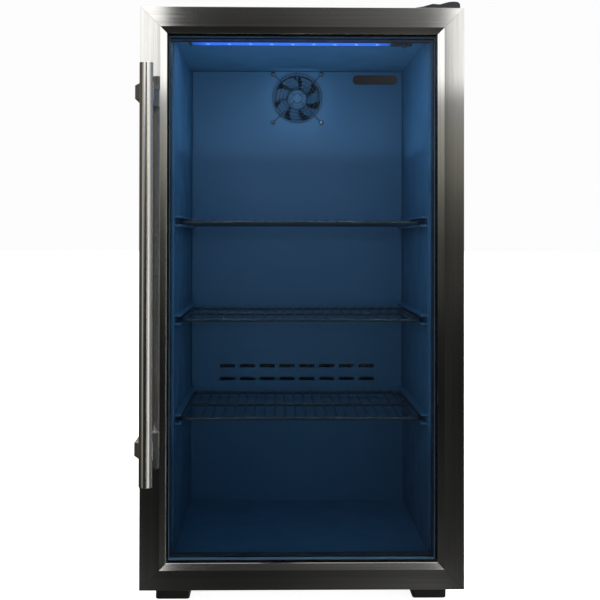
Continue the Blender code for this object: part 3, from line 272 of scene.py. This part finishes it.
def make_materials():
    brushed("stainless_upright", "Z", (0.66, 0.65, 0.62), 0.075, "stainless_trim", 0.5)
    brushed("stainless_level", "X", (0.66, 0.65, 0.62), 0.075, "stainless_trim", 0.5)
    brushed("handle_bar_steel", "Z", (0.74, 0.72, 0.69), 0.16, "handle_steel", 0.5)
    brushed("handle_bracket_steel", "Y", (0.50, 0.49, 0.47), 0.32, "handle_steel", 0.3)

    black = Finish("cabinet_black", (0.010, 0.010, 0.011), 0.42)
    peel = black.noise(620.0, 2.0)
    black.bump(peel, 0.00012, 0.35)
    black.rough(black.noise(9.0, 4.0), 0.36, 0.50)
    black.tint(black.noise(30.0, 4.0), (0.008, 0.008, 0.009), (0.014, 0.014, 0.015))

    zinc = Finish("zinc_steel", (0.55, 0.56, 0.57), 0.36, 1.0)
    zinc.tint(zinc.cells(55.0), (0.46, 0.47, 0.48), (0.64, 0.64, 0.63), 0.1, 0.8)
    zinc.rough(zinc.noise(140.0, 4.0), 0.26, 0.46)
    zinc.bump(zinc.noise(900.0, 2.0), 0.00002, 0.4)

    plastic = Finish("black_plastic", (0.014, 0.014, 0.016), 0.44)
    plastic.bump(plastic.noise(1500.0, 2.0), 0.00005, 0.4)
    plastic.rough(plastic.noise(40.0, 4.0), 0.36, 0.54)
    plastic.tint(plastic.noise(60.0, 3.0), (0.011, 0.011, 0.012), (0.019, 0.018, 0.021))

    cap = Finish("hinge_cap_plastic", (0.016, 0.014, 0.019), 0.26, slot="black_plastic")
    cap.bump(cap.noise(1100.0, 2.0), 0.00004, 0.25)
    cap.rough(cap.noise(50.0, 3.0), 0.20, 0.34)
    cap.tint(cap.noise(60.0, 3.0), (0.013, 0.012, 0.016), (0.021, 0.019, 0.024))

    plate = Finish("nameplate_black", (0.006, 0.007, 0.009), 0.20)
    plate.rough(plate.noise(300.0, 3.0), 0.14, 0.26)
    plate.bump(plate.noise(500.0, 2.0), 0.00001, 0.3)

    liner = Finish("liner_blue", (0.020, 0.070, 0.145), 0.48)
    liner.tint(liner.noise(7.0, 4.0), (0.018, 0.066, 0.138), (0.022, 0.074, 0.152))
    liner.rough(liner.noise(16.0, 4.0), 0.42, 0.56)
    liner.set("Specular IOR Level", 0.25)
    liner.bump(liner.noise(700.0, 2.0), 0.00006, 0.3)

    foam = Finish("foam", (0.78, 0.68, 0.44), 0.95)
    foam.bump(foam.cells(500.0), 0.0006, 0.8)
    foam.tint(foam.noise(45.0, 5.0), (0.70, 0.58, 0.34), (0.86, 0.77, 0.55))

    copper = Finish("copper", (0.72, 0.36, 0.20), 0.30, 1.0)
    copper.tint(copper.noise(90.0, 4.0), (0.48, 0.22, 0.12), (0.80, 0.44, 0.27))
    copper.rough(copper.noise(260.0, 3.0), 0.22, 0.42)

    alu = Finish("aluminium", (0.74, 0.75, 0.77), 0.34, 1.0)
    alu.rough(alu.noise(400.0, 3.0, (1, 1, 0.1)), 0.26, 0.44)
    alu.tint(alu.noise(60.0, 3.0), (0.66, 0.67, 0.69), (0.80, 0.81, 0.83))

    wire = Finish("coated_wire", (0.012, 0.018, 0.028), 0.20)
    wire.rough(wire.noise(500.0, 3.0), 0.14, 0.28)
    wire.tint(wire.noise(120.0, 3.0), (0.009, 0.014, 0.022), (0.015, 0.022, 0.034))
    wire.bump(wire.noise(900.0, 2.0), 0.00002, 0.4)

    # painted light: the spacer between the panes is black, and this blue-grey colour is the room's
    # blue light painted onto it, because little light reaches it there
    spacer = Finish("spacer_black", (0.18, 0.32, 0.47), 0.40)
    spacer.rough(spacer.noise(300.0, 3.0), 0.32, 0.50)
    spacer.tint(spacer.noise(90.0, 3.0), (0.17, 0.30, 0.44), (0.19, 0.34, 0.50))

    rubber = Finish("rubber", (0.020, 0.020, 0.021), 0.70)
    rubber.bump(rubber.noise(1300.0, 3.0), 0.00006, 0.5)
    rubber.rough(rubber.noise(60.0, 4.0), 0.60, 0.82)
    rubber.tint(rubber.noise(35.0, 4.0), (0.014, 0.014, 0.015), (0.028, 0.028, 0.029))

    seal = Finish("seal_blue", (0.028, 0.072, 0.128), 0.62, slot="rubber")
    seal.bump(seal.noise(1300.0, 3.0), 0.00006, 0.4)
    seal.rough(seal.noise(60.0, 4.0), 0.54, 0.72)
    seal.tint(seal.noise(35.0, 4.0), (0.025, 0.066, 0.120), (0.031, 0.078, 0.136))

    for name, color in (("tinted_glass", (0.80, 0.90, 0.96)), ("clear_glass", (0.95, 0.98, 0.98))):
        glass = Finish(name, color, 0.0)
        glass.set("Transmission Weight", 1.0).set("IOR", 1.45)
        glass.rough(glass.noise(12.0, 4.0), 0.0, 0.012, 0.35, 0.75)
        glass.tint(glass.noise(3.0, 2.0), tuple(c * 0.98 for c in color), color)

    ceramic = Finish("glass_border", (0.004, 0.004, 0.005), 0.30, slot="tinted_glass")
    ceramic.rough(ceramic.noise(200.0, 3.0), 0.24, 0.38)

    lens = Finish("lamp_lens", (0.03, 0.10, 0.40), 0.35)
    lens.set("Emission Color", (0.020, 0.115, 0.66, 1.0))
    lens.bump(lens.noise(900.0, 2.0), 0.00003, 0.3)
    lens.rough(lens.noise(200.0, 3.0), 0.28, 0.44)
    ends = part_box("led_lens")
    centred = lens.place(shift=(-(ends[0].x + ends[1].x) / 2, 0, 0))
    along = lens.node("ShaderNodeSeparateXYZ", Vector=centred).outputs[0]
    half = (ends[1].x - ends[0].x) / 2
    glow = lens.spread(math_node(lens.tree, "ABSOLUTE", along), 1.0, 0.10, half - 0.024, half)
    lens.tree.links.new(glow, lens.shader.inputs["Emission Strength"])

    spark = Finish("lamp_chip", (0.3, 0.4, 0.8), 0.3, slot="lamp_lens")
    spark.set("Emission Color", (0.10, 0.28, 0.95, 1.0)).set("Emission Strength", 1.2)
    spark.rough(spark.noise(600.0, 2.0), 0.25, 0.4)

    board = Finish("board_white", (0.70, 0.70, 0.67), 0.42)
    board.rough(board.noise(300.0, 3.0), 0.34, 0.52)
    board.tint(board.noise(80.0, 3.0), (0.64, 0.64, 0.60), (0.76, 0.76, 0.73))

    screw = Finish("screw_zinc", (0.62, 0.62, 0.60), 0.28, 1.0, "zinc_steel")
    screw.rough(screw.noise(900.0, 3.0), 0.20, 0.40)
    screw.tint(screw.noise(300.0, 2.0), (0.50, 0.50, 0.49), (0.70, 0.70, 0.68))

    foot = Finish("foot_black", (0.006, 0.006, 0.007), 0.50, slot="black_plastic")
    foot.set("Specular IOR Level", 0.3)
    foot.bump(foot.noise(1300.0, 2.0), 0.00005, 0.4)
    foot.rough(foot.noise(50.0, 3.0), 0.42, 0.60)



NODE_FINISH = {
    "door_trim_left": "stainless_upright",
    "door_trim_right": "stainless_upright",
    "door_trim_top": "stainless_level",
    "door_trim_bottom": "stainless_level",
    "handle_bar": "handle_bar_steel",
    "handle_bracket_lower": "handle_bracket_steel",
    "handle_bracket_upper": "handle_bracket_steel",
    "hinge_cover_top": "hinge_cap_plastic",
    "front_foot_left": "foot_black",
    "front_foot_right": "foot_black",
    "rear_foot_left": "foot_black",
    "rear_foot_right": "foot_black",
}


def paint_nodes():
    """Give every CAD node its finish: its own, or the one named like its slot."""
    for name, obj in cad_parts.items():
        for slot in obj.material_slots:
            slot.material = MATERIALS[NODE_FINISH.get(name, slot.material.name.split(".")[0])]


# ---------------------------------------------------------------- wire shelves
def make_shelf(node, body):
    """Round-wire shelf: a bent rod frame, a middle rod and wires hooked over the front rod."""
    low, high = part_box(node)
    level = low.z + ROD
    half = high.x - ROD
    front, back = low.y + ROD, high.y - ROD
    corner = 0.0100
    bm = bmesh.new()
    path = []
    for cx, cy, start in (
        (half - corner, back - corner, 0),
        (-half + corner, back - corner, 90),
        (-half + corner, front + corner, 180),
        (half - corner, front + corner, 270),
    ):
        path += [(x, y, level) for x, y in arc((cx, cy), corner, start, start + 90, 6)]
    add_tube(bm, path, ROD, 14, closed=True)
    middle = (front + back) / 2
    add_tube(bm, [(-half, middle, level), (half, middle, level)], ROD, 14)
    count = int((2 * half - 2 * ROD) / WIRE_PITCH)
    top = ROD + WIRE - 0.0004
    for k in range(count):
        x = (k - (count - 1) / 2) * WIRE_PITCH
        hook = [(x, front + a, level + b) for a, b in arc((0, 0), top, 90, 200, 7)]
        run = [(x, back + ROD - 0.0006, level + top), (x, middle, level + top)]
        add_tube(bm, run + hook, WIRE, 10)
        for rod_y in (middle, back):
            weld = [(x, rod_y + side * 0.0022, level + top - 0.0007) for side in (-1, 1)]
            add_tube(bm, weld, 0.0014, 8)
    shelf = add_piece(node + "_wires", bm, body, "coated_wire", 60)
    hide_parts(node)


# ---------------------------------------------------------------- fan
def make_fan_guard():
    """Finger guard: seven rings on four diagonal arms that end in screw eyes."""
    low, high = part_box("fan_guard")
    middle = (low + high) / 2
    wire, pitch, rings = 0.0007, 0.0056, 7
    back = high.y - wire
    reach = (high.x - low.x) / 2 - 0.0036
    bm = bmesh.new()
    for k in range(rings):
        radius = 0.0084 + pitch * k
        rise = 0.0022 * (1 - (k / rings) ** 3)
        circle = arc((middle.x, middle.z), radius, 0, 352.5, 47)
        ring = [(x, back - 0.0009 - rise, z) for x, z in circle]
        add_tube(bm, ring, wire, 8, closed=True)
    for sx in (-1, 1):
        for sz in (-1, 1):
            eye_x, eye_z = middle.x + sx * reach, middle.z + sz * reach
            arm = []
            for k in range(13):
                share = k / 12
                far = 0.006 + (reach * math.sqrt(2) - 0.0036 - 0.006) * share
                rise = 0.0024 * max(0.0, 1 - (far / 0.046) ** 3)
                along = far / math.sqrt(2)
                arm.append((middle.x + sx * along, back - rise + 0.0002, middle.z + sz * along))
            add_tube(bm, arm, wire * 1.1, 8)
            eye = [(x, back, z) for x, z in arc((eye_x, eye_z), 0.0030, 0, 345, 23)]
            add_tube(bm, eye, wire * 1.1, 8, closed=True)
    guard = add_piece("fan_guard_rings", bm, "root", "coated_wire", 60)
    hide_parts("fan_guard")
    for sx in (-1, 1):
        for sz in (-1, 1):
            place_screw(
                f"fan_screw_{'r' if sx > 0 else 'l'}{'t' if sz > 0 else 'b'}",
                (middle.x + sx * reach, back - wire, middle.z + sz * reach),
                "-Y", 0.0027, "root", "screw_zinc",
            )


def make_fan_blades():
    """Seven swept blades with twist and a thickness that thins to the tip, on a domed cup."""
    low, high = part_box("fan_blade")
    centre = Vector(((low.x + high.x) / 2 - 0.00045, low.y, (low.z + high.z) / 2))
    hub, tip, deep = 0.0170, 0.0400, 0.0165
    bm = bmesh.new()
    cup = [
        (0.0, 0.0010), (0.0100, 0.0006), (0.0148, 0.0002), (0.0163, 0.0010), (hub, 0.0026),
        (hub, 0.0160), (hub - 0.0014, 0.0160), (hub - 0.0014, 0.0034), (0.0, 0.0034),
    ]
    add_turned(bm, cup, centre, "Y", 56)
    spans, chords = 10, 8
    for blade in range(7):
        start = 2 * math.pi * blade / 7
        grid = {}
        for i in range(spans + 1):
            out = i / spans
            radius = hub - 0.0006 + (tip - hub + 0.0006) * out
            pitch = math.radians(50 - 20 * out)
            chord = (0.0200 + 0.0050 * out) * (1.0 if out < 0.9 else 1.0 - 0.22 * (out - 0.9) / 0.1)
            sweep = 0.28 * out * out
            for j in range(chords + 1):
                c = j / chords - 0.5
                camber = 0.0016 * (1 - 4 * c * c)
                around = c * chord * math.cos(pitch) / radius + start + sweep
                depth = 0.0090 + c * chord * math.sin(pitch) * 0.66 + camber
                half = (0.00075 - 0.00035 * out) * math.sqrt(max(0.02, 1 - (2 * c) ** 4))
                for side in (-1, 1):
                    y = centre.y + min(deep, max(0.0008, depth + side * half))
                    x = centre.x + radius * math.cos(around)
                    grid[i, j, side] = bm.verts.new((x, y, centre.z + radius * math.sin(around)))
        for i in range(spans):
            for j in range(chords):
                for side in (-1, 1):
                    quad = ((i, j), (i + 1, j), (i + 1, j + 1), (i, j + 1))
                    bm.faces.new([grid[u, v, side] for u, v in quad])
        for i in range(spans):
            for j in (0, chords):
                bm.faces.new((grid[i, j, -1], grid[i + 1, j, -1], grid[i + 1, j, 1], grid[i, j, 1]))
        for j in range(chords):
            for i in (0, spans):
                bm.faces.new((grid[i, j, -1], grid[i, j + 1, -1], grid[i, j + 1, 1], grid[i, j, 1]))
    blades = add_piece("fan_blades_moulded", bm, "fan_rotor", "liner_blue", 35)
    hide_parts("fan_blade")


# ---------------------------------------------------------------- screws
SCREW_MESHES = {}


def screw_mesh(radius):
    """Pan head with a cross recess, its seat at z = 0 and its head towards +Z."""
    if radius in SCREW_MESHES:
        return SCREW_MESHES[radius]
    head = 0.62 * radius
    bm = bmesh.new()
    dome = [(0.0, head)]
    for degrees in range(12, 91, 13):
        a = math.radians(degrees)
        dome.append((radius * math.sin(a), head * (0.30 + 0.70 * math.cos(a))))
    dome += [(radius, 0.0), (0.0, 0.0)]
    add_turned(bm, dome, (0, 0, 0), "Z", 28)
    bmesh.ops.recalc_face_normals(bm, faces=bm.faces)
    mesh = bpy.data.meshes.new("screw_head")
    bm.to_mesh(mesh)
    bm.free()
    solid = bpy.data.objects.new("screw_head", mesh)
    cutter_bm = bmesh.new()
    for turn in (0, 90):
        arm = bmesh.ops.create_cube(cutter_bm, size=1.0)["verts"]
        for v in arm:
            long = radius * (0.605 if v.co.z < 0 else 1.10)
            v.co = Vector((v.co.x * long, v.co.y * 0.26 * radius, head * (0.78 + v.co.z)))
        quarter = Matrix.Rotation(math.radians(turn), 3, "Z")
        bmesh.ops.rotate(cutter_bm, verts=arm, cent=(0, 0, 0), matrix=quarter)
    cutter_mesh = bpy.data.meshes.new("recess")
    cutter_bm.to_mesh(cutter_mesh)
    cutter_bm.free()
    cutter = bpy.data.objects.new("recess", cutter_mesh)
    for obj in (solid, cutter):
        bpy.context.scene.collection.objects.link(obj)
    cut = solid.modifiers.new("recess", "BOOLEAN")
    cut.object, cut.operation, cut.use_self = cutter, "DIFFERENCE", True
    bpy.context.view_layer.update()
    graph = bpy.context.evaluated_depsgraph_get()
    shaped = bpy.data.meshes.new_from_object(solid.evaluated_get(graph))
    for obj in (solid, cutter):
        bpy.data.objects.remove(obj)
    SCREW_MESHES[radius] = shaped
    return shaped


def place_screw(name, seat, facing, radius, body, slot, turn=20):
    """A screw head that sits on a surface and faces along an axis."""
    bm = bmesh.new()
    bm.from_mesh(screw_mesh(radius))
    spin = Matrix.Rotation(math.radians(turn + 37 * (len(name) % 5)), 4, "Z")
    bm.transform(Matrix.Translation(seat) @ AXIS_TURN[facing] @ spin)
    return add_piece(name, bm, body, slot, 35)


# ---------------------------------------------------------------- door
def make_gasket():
    """Magnetic seal: a dart base, a bellows and a magnet bulb, mitred at the corners."""
    low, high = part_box("door_gasket")
    deep = high.y - low.y
    wide = 0.0185
    section = [
        (0.0010, 0.00), (0.0024, 0.10), (0.0014, 0.24), (0.0030, 0.36), (0.0008, 0.48),
        (0.0000, 0.62), (0.0000, 0.90), (0.0012, 1.00), (0.0090, 1.00), (0.0100, 0.90),
        (0.0102, 0.66), (0.0112, 0.56), (0.0165, 0.50), (0.0182, 0.40), (0.0184, 0.28),
        (0.0170, 0.22), (0.0130, 0.26), (0.0118, 0.14), (0.0125, 0.00),
    ]
    ring = [(u / 0.0184 * wide, low.y + v * deep) for u, v in section]
    bm = bmesh.new()
    add_rect_sweep(bm, ring, high.x, (high.z - low.z) / 2, (high.z + low.z) / 2)
    gasket = add_piece("door_seal_bellows", bm, "door", "seal_blue", 50)
    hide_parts("door_gasket")


def make_glass_border():
    """Black printed band round the inside of the outer pane, under the trim's lip."""
    low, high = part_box("glass_outer")
    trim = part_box("door_trim_left")[1].x
    shown = 0.0024
    inset = abs(trim) - shown
    near = high.y + 0.00005
    bm = bmesh.new()
    band = high.x - inset
    section = [(0.0, near), (band, near), (band, near + 0.00015), (0.0, near + 0.00015)]
    add_rect_sweep(bm, section, high.x, (high.z - low.z) / 2, (high.z + low.z) / 2)
    add_piece("glass_border_print", bm, "door", "glass_border", 0)


# ---------------------------------------------------------------- lamp
def make_lamp_chips():
    """Nine lit spots on the lens, one under each lamp chip of the board."""
    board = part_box("led_board")
    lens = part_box("led_lens")
    count, pitch = 9, 0.0313
    middle_x, middle_y = (board[0].x + board[1].x) / 2 + 0.0020, lens[1].y - 0.0100
    bm = bmesh.new()
    for k in range(count):
        x = middle_x + (k - (count - 1) / 2) * pitch
        dome = [(0.0, 0.0007), (0.0012, 0.0006), (0.0021, 0.0003), (0.0024, 0.0), (0.0, 0.0)]
        add_turned(bm, dome, (x, middle_y, lens[0].z - 0.0001), "-Z", 20)
    add_piece("lamp_spots", bm, "root", "lamp_chip", 50)


# ---------------------------------------------------------------- fasteners and small parts
def make_fasteners():
    """Screws of the back panel and the bay's cover."""
    sheet, cover_skin = 0.0030, 0.0015
    low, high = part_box("back_panel")
    columns = (low.x + 0.010, 0.0, high.x - 0.010)
    rows = (high.z - 0.010, (low.z + high.z) / 2, low.z + 0.010)
    for r, z in enumerate(rows):
        for c, x in enumerate(columns):
            if r != 1 or c != 1:
                name = f"back_screw_{r + 1}{c + 1}"
                place_screw(name, (x, low.y + sheet, z), "Y", SCREW_RADIUS, "root", "screw_zinc")
    low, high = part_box("rear_cover")
    for c, x in enumerate((low.x + 0.013, high.x - 0.013)):
        for r, z in enumerate((low.z + 0.030, high.z - 0.020)):
            name = f"cover_screw_{c + 1}{r + 1}"
            place_screw(name, (x, low.y + cover_skin, z), "Y", SCREW_RADIUS, "root", "screw_zinc")


def make_foot_threads():
    """Rolled thread on the front feet's stems."""
    for side in ("left", "right"):
        low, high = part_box(f"front_foot_{side}")
        x, y = (low.x + high.x) / 2, (low.y + high.y) / 2
        bm = bmesh.new()
        turns, pitch, steps = 4, 0.0012, 24
        start = 0.0213
        radius = 0.0040
        path = []
        for k in range(turns * steps + 1):
            turn = 2 * math.pi * k / steps
            rise = start + pitch * k / steps
            path.append((x + radius * math.cos(turn), y + radius * math.sin(turn), rise))
        add_tube(bm, path, 0.0003, 6)
        add_piece(f"front_foot_{side}_thread", bm, f"{side}_foot", "screw_zinc", 60)


# ---------------------------------------------------------------- stage
def make_floor():
    """A wide pale floor whose edge lies far away."""
    bm = bmesh.new()
    add_turned(bm, [(0.0, 0.0), (6.0, 0.0), (14.0, 0.0), (40.0, 0.0)], (0, 0, -0.0004), "Z", 64)
    mesh = bpy.data.meshes.new("studio_floor")
    bm.to_mesh(mesh)
    bm.free()
    floor = bpy.data.objects.new("studio_floor", mesh)
    bpy.context.scene.collection.objects.link(floor)
    finish = Finish("studio_floor", (0.90, 0.90, 0.90), 0.9)
    finish.set("Emission Color", (1, 1, 1, 1)).set("Emission Strength", 0.89)
    finish.set("Specular IOR Level", 0.1)
    mesh.materials.append(finish.material)
    floor.visible_glossy = False
    floor.visible_transmission = False


def math_node(tree, operation, *values):
    node = tree.nodes.new("ShaderNodeMath")
    node.operation = operation
    for k, value in enumerate(values):
        if isinstance(value, bpy.types.NodeSocket):
            tree.links.new(value, node.inputs[k])
        else:
            node.inputs[k].default_value = value
    return node.outputs[0]


def ramp_node(tree, source, stops, low, high):
    """A ramp over a source from low to high; stops are (value, level) or (value, level, tint)."""
    node = tree.nodes.new("ShaderNodeValToRGB")
    share = math_node(tree, "DIVIDE", math_node(tree, "SUBTRACT", source, low), high - low)
    tree.links.new(share, node.inputs[0])
    ramp = node.color_ramp
    while len(ramp.elements) < len(stops):
        ramp.elements.new(0.5)
    for element, stop in zip(ramp.elements, stops):
        element.position = (stop[0] - low) / (high - low)
    for element, stop in zip(ramp.elements, stops):
        tint = stop[2] if len(stop) > 2 else (1.0, 1.0, 1.0)
        element.color = (*(stop[1] * part for part in tint), 1.0)
    return node.outputs[0]


def mix_node(tree, share, first, second):
    node = tree.nodes.new("ShaderNodeMix")
    node.data_type = "RGBA"
    for socket, value in zip((node.inputs[0], node.inputs[6], node.inputs[7]), (share, first, second)):
        if isinstance(value, bpy.types.NodeSocket):
            tree.links.new(value, socket)
        else:
            socket.default_value = value
    return node.outputs[2]


def multiply_node(tree, first, second):
    node = tree.nodes.new("ShaderNodeVectorMath")
    node.operation = "MULTIPLY"
    tree.links.new(first, node.inputs[0])
    tree.links.new(second, node.inputs[1])
    return node.outputs[0]


def make_world():
    """The studio round the object: white backdrop, soft boxes, and a dark gap behind the camera."""
    world = bpy.data.worlds.new("studio")
    bpy.context.scene.world = world
    world.use_nodes = True
    tree = world.node_tree
    coords = tree.nodes.new("ShaderNodeTexCoord").outputs["Generated"]
    split = tree.nodes.new("ShaderNodeSeparateXYZ")
    tree.links.new(coords, split.inputs[0])
    x, y, z = split.outputs
    forward = math_node(tree, "MULTIPLY", y, -1.0)
    turn = math_node(tree, "MULTIPLY", math_node(tree, "ARCTAN2", x, forward), 180 / math.pi)
    squares = [math_node(tree, "MULTIPLY", part, part) for part in (x, y)]
    flat = math_node(tree, "SQRT", math_node(tree, "ADD", *squares))
    slope = math_node(tree, "DIVIDE", z, math_node(tree, "MAXIMUM", flat, 0.001))
    warm, brown = (1.0, 0.99, 0.87), (1.0, 0.82, 0.62)
    # what a mirror at the door's edges shows, from the floor up to the white wall
    wall = ramp_node(
        tree, slope,
        [(-0.60, 0.04), (-0.36, 0.05), (-0.28, 0.022), (-0.17, 0.011), (-0.13, 0.014),
         (-0.09, 0.019), (-0.047, 0.044, warm), (-0.005, 0.06, warm), (0.037, 0.12, warm),
         (0.08, 0.27, warm),
         (0.11, 0.36, warm), (0.132, 0.42), (0.146, 0.50), (0.168, 1.6), (0.60, 1.7)],
        -0.60, 0.60,
    )
    # the darker gap behind the camera, seen in the middle of the door
    gap = ramp_node(
        tree, turn,
        [(-8.4, 1.0), (-7.9, 0.9), (-7.4, 0.5), (-7.0, 0.28), (-6.6, 0.06), (-6.2, 0.0),
         (9.0, 0.0), (9.6, 0.05), (10.2, 0.17), (10.8, 0.9), (11.2, 1.0)],
        -20.0, 20.0,
    )
    across = ramp_node(
        tree, turn,
        [(-6.0, 0.055), (-3.0, 0.045), (0.0, 0.055), (3.0, 0.085), (6.0, 0.12), (9.3, 0.18)],
        -20.0, 20.0,
    )
    fade = ramp_node(
        tree, slope,
        [(-0.36, 0.50), (-0.325, 0.15), (0.0, 0.15), (0.15, 0.22), (0.205, 0.40), (0.222, 1.0)],
        -0.60, 0.60,
    )
    lift = ramp_node(tree, slope, [(0.155, 0.0), (0.170, 1.0)], -0.60, 0.60)
    left = ramp_node(tree, turn, [(-6.9, 1.0), (-6.5, 0.0)], -20.0, 20.0)
    gap = math_node(tree, "MAXIMUM", gap, math_node(tree, "MULTIPLY", lift, left))
    near = mix_node(tree, gap, multiply_node(tree, across, fade), wall)
    # what the round bar shows at its sides
    sides = ramp_node(
        tree, turn,
        [(-180.0, 0.81), (-172.0, 0.70), (-160.0, 0.14, brown), (-112.0, 0.14, brown),
         (-104.0, 0.05), (-69.0, 0.05), (-65.0, 0.50, warm), (-30.0, 0.50, warm), (26.0, 0.45, warm),
         (54.0, 0.38, warm), (75.0, 0.42), (100.0, 0.57), (127.0, 0.81), (180.0, 0.81)],
        -180.0, 180.0,
    )
    sink = ramp_node(
        tree, slope,
        [(-0.45, 0.20), (-0.25, 0.38), (-0.19, 0.58), (-0.08, 0.72), (0.04, 0.92), (0.15, 1.0)],
        -0.60, 0.60,
    )
    sides = multiply_node(tree, sides, sink)
    box_stops = [(32.6, 0.0), (34.0, 1.0), (56.0, 1.0), (58.5, 0.0)]
    soft_box = ramp_node(tree, turn, box_stops, 0.0, 90.0)
    around = mix_node(tree, soft_box, sides, (1.45, 1.43, 1.36, 1.0))
    high = ramp_node(tree, slope, [(0.35, 0.0), (0.9, 1.0)], 0.0, 1.2)
    around = mix_node(tree, high, around, (1.5, 1.5, 1.5, 1.0))
    front_stops = [(-36.0, 1.0), (-34.0, 0.0), (32.6, 0.0), (33.4, 1.0)]
    front = ramp_node(tree, turn, front_stops, -60.0, 60.0)
    studio = mix_node(tree, front, near, around)
    # the object in front of the white backdrop, straight on or through glass
    path = tree.nodes.new("ShaderNodeLightPath").outputs
    bounced = math_node(tree, "ADD", path["Diffuse Depth"], path["Glossy Depth"])
    direct = math_node(tree, "LESS_THAN", bounced, 0.5)
    color = mix_node(tree, direct, studio, (0.98, 0.98, 0.98, 1.0))
    tree.links.new(color, tree.nodes["Background"].inputs["Color"])


def add_area(name, place, aim, size, power, color=(1, 1, 1)):
    light = bpy.data.lights.new(name, "AREA")
    light.shape = "RECTANGLE"
    light.size, light.size_y = size
    light.energy = power
    light.color = color
    obj = bpy.data.objects.new(name, light)
    bpy.context.scene.collection.objects.link(obj)
    obj.location = place
    obj.rotation_euler = (Vector(aim) - Vector(place)).to_track_quat("-Z", "Y").to_euler()
    obj.visible_camera = False
    return obj


def make_lights():
    key = add_area("key", (1.6, -1.6, 2.6), (0, 0, 0.4), (1.6, 1.6), 30)
    key.visible_glossy = False
    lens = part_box("led_lens")
    middle = (lens[0] + lens[1]) / 2
    lamp = add_area(
        "room_lamp", (middle.x, middle.y, lens[0].z - 0.004), (middle.x, middle.y + 0.05, 0.3),
        (0.28, 0.04), 0.35, (0.9, 0.95, 1.0),
    )
    lamp.visible_transmission = False
    # what the lamp throws on the seal and the liner's front rim
    glow = add_area(
        "lamp_glow", (middle.x, -0.176, 0.772), (middle.x, -0.173, 0.812),
        (0.27, 0.010), 0.10, (0.02, 0.14, 1.0),
    )
    glow.visible_transmission = False
    glow.visible_glossy = False
    # daylight that comes in through the glass door, which glass in the way would stop
    fills = ((0.70, 0.20, 0.62), (0.50, 0.18, 0.33), (0.32, 0.18, 0.23), (0.15, 0.16, 0.07))
    for level, height, power in fills:
        name = f"room_fill_{round(level * 100)}"
        add_fill(name, (0.0, -0.186, level), (0.0, 0.100, level), (0.37, height), power)
    add_fill("ceiling_fill", (0.0, -0.030, 0.640), (0.0, -0.030, 0.800), (0.34, 0.20), 0.42)
    fan = (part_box("fan_guard")[0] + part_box("fan_guard")[1]) / 2
    add_fill("fan_fill", (fan.x, fan.y - 0.030, fan.z), (fan.x, fan.y, fan.z), (0.07, 0.07), 0.045)


def add_fill(name, place, aim, size, power):
    """Light that only the room's walls show, not the glass."""
    fill = add_area(name, place, aim, size, power, (0.9, 0.97, 1.0))
    fill.visible_glossy = False
    fill.visible_transmission = False


def make_camera():
    """A camera straight in front, a little left of the door's middle."""
    camera = bpy.data.cameras.new("camera")
    camera.sensor_width = 36.0
    camera.lens = 56.86
    camera.shift_x, camera.shift_y = 0.0154, -0.1144
    obj = bpy.data.objects.new("camera", camera)
    bpy.context.scene.collection.objects.link(obj)
    obj.location = (-0.0369, DOOR_FACE - 1.300, 0.5071)
    obj.rotation_euler = (math.radians(90.51), math.radians(-0.086), math.radians(-0.914))
    bpy.context.scene.camera = obj


# ---------------------------------------------------------------- everything
make_materials()
paint_nodes()
for level in ("lower", "middle", "upper"):
    make_shelf(f"shelf_{level}", f"{level}_shelf")
make_fan_guard()
make_fan_blades()
make_gasket()
make_glass_border()
make_lamp_chips()
make_fasteners()
make_foot_threads()
make_floor()
make_world()
make_lights()
make_camera()
bpy.context.scene.view_settings.view_transform = "Standard"
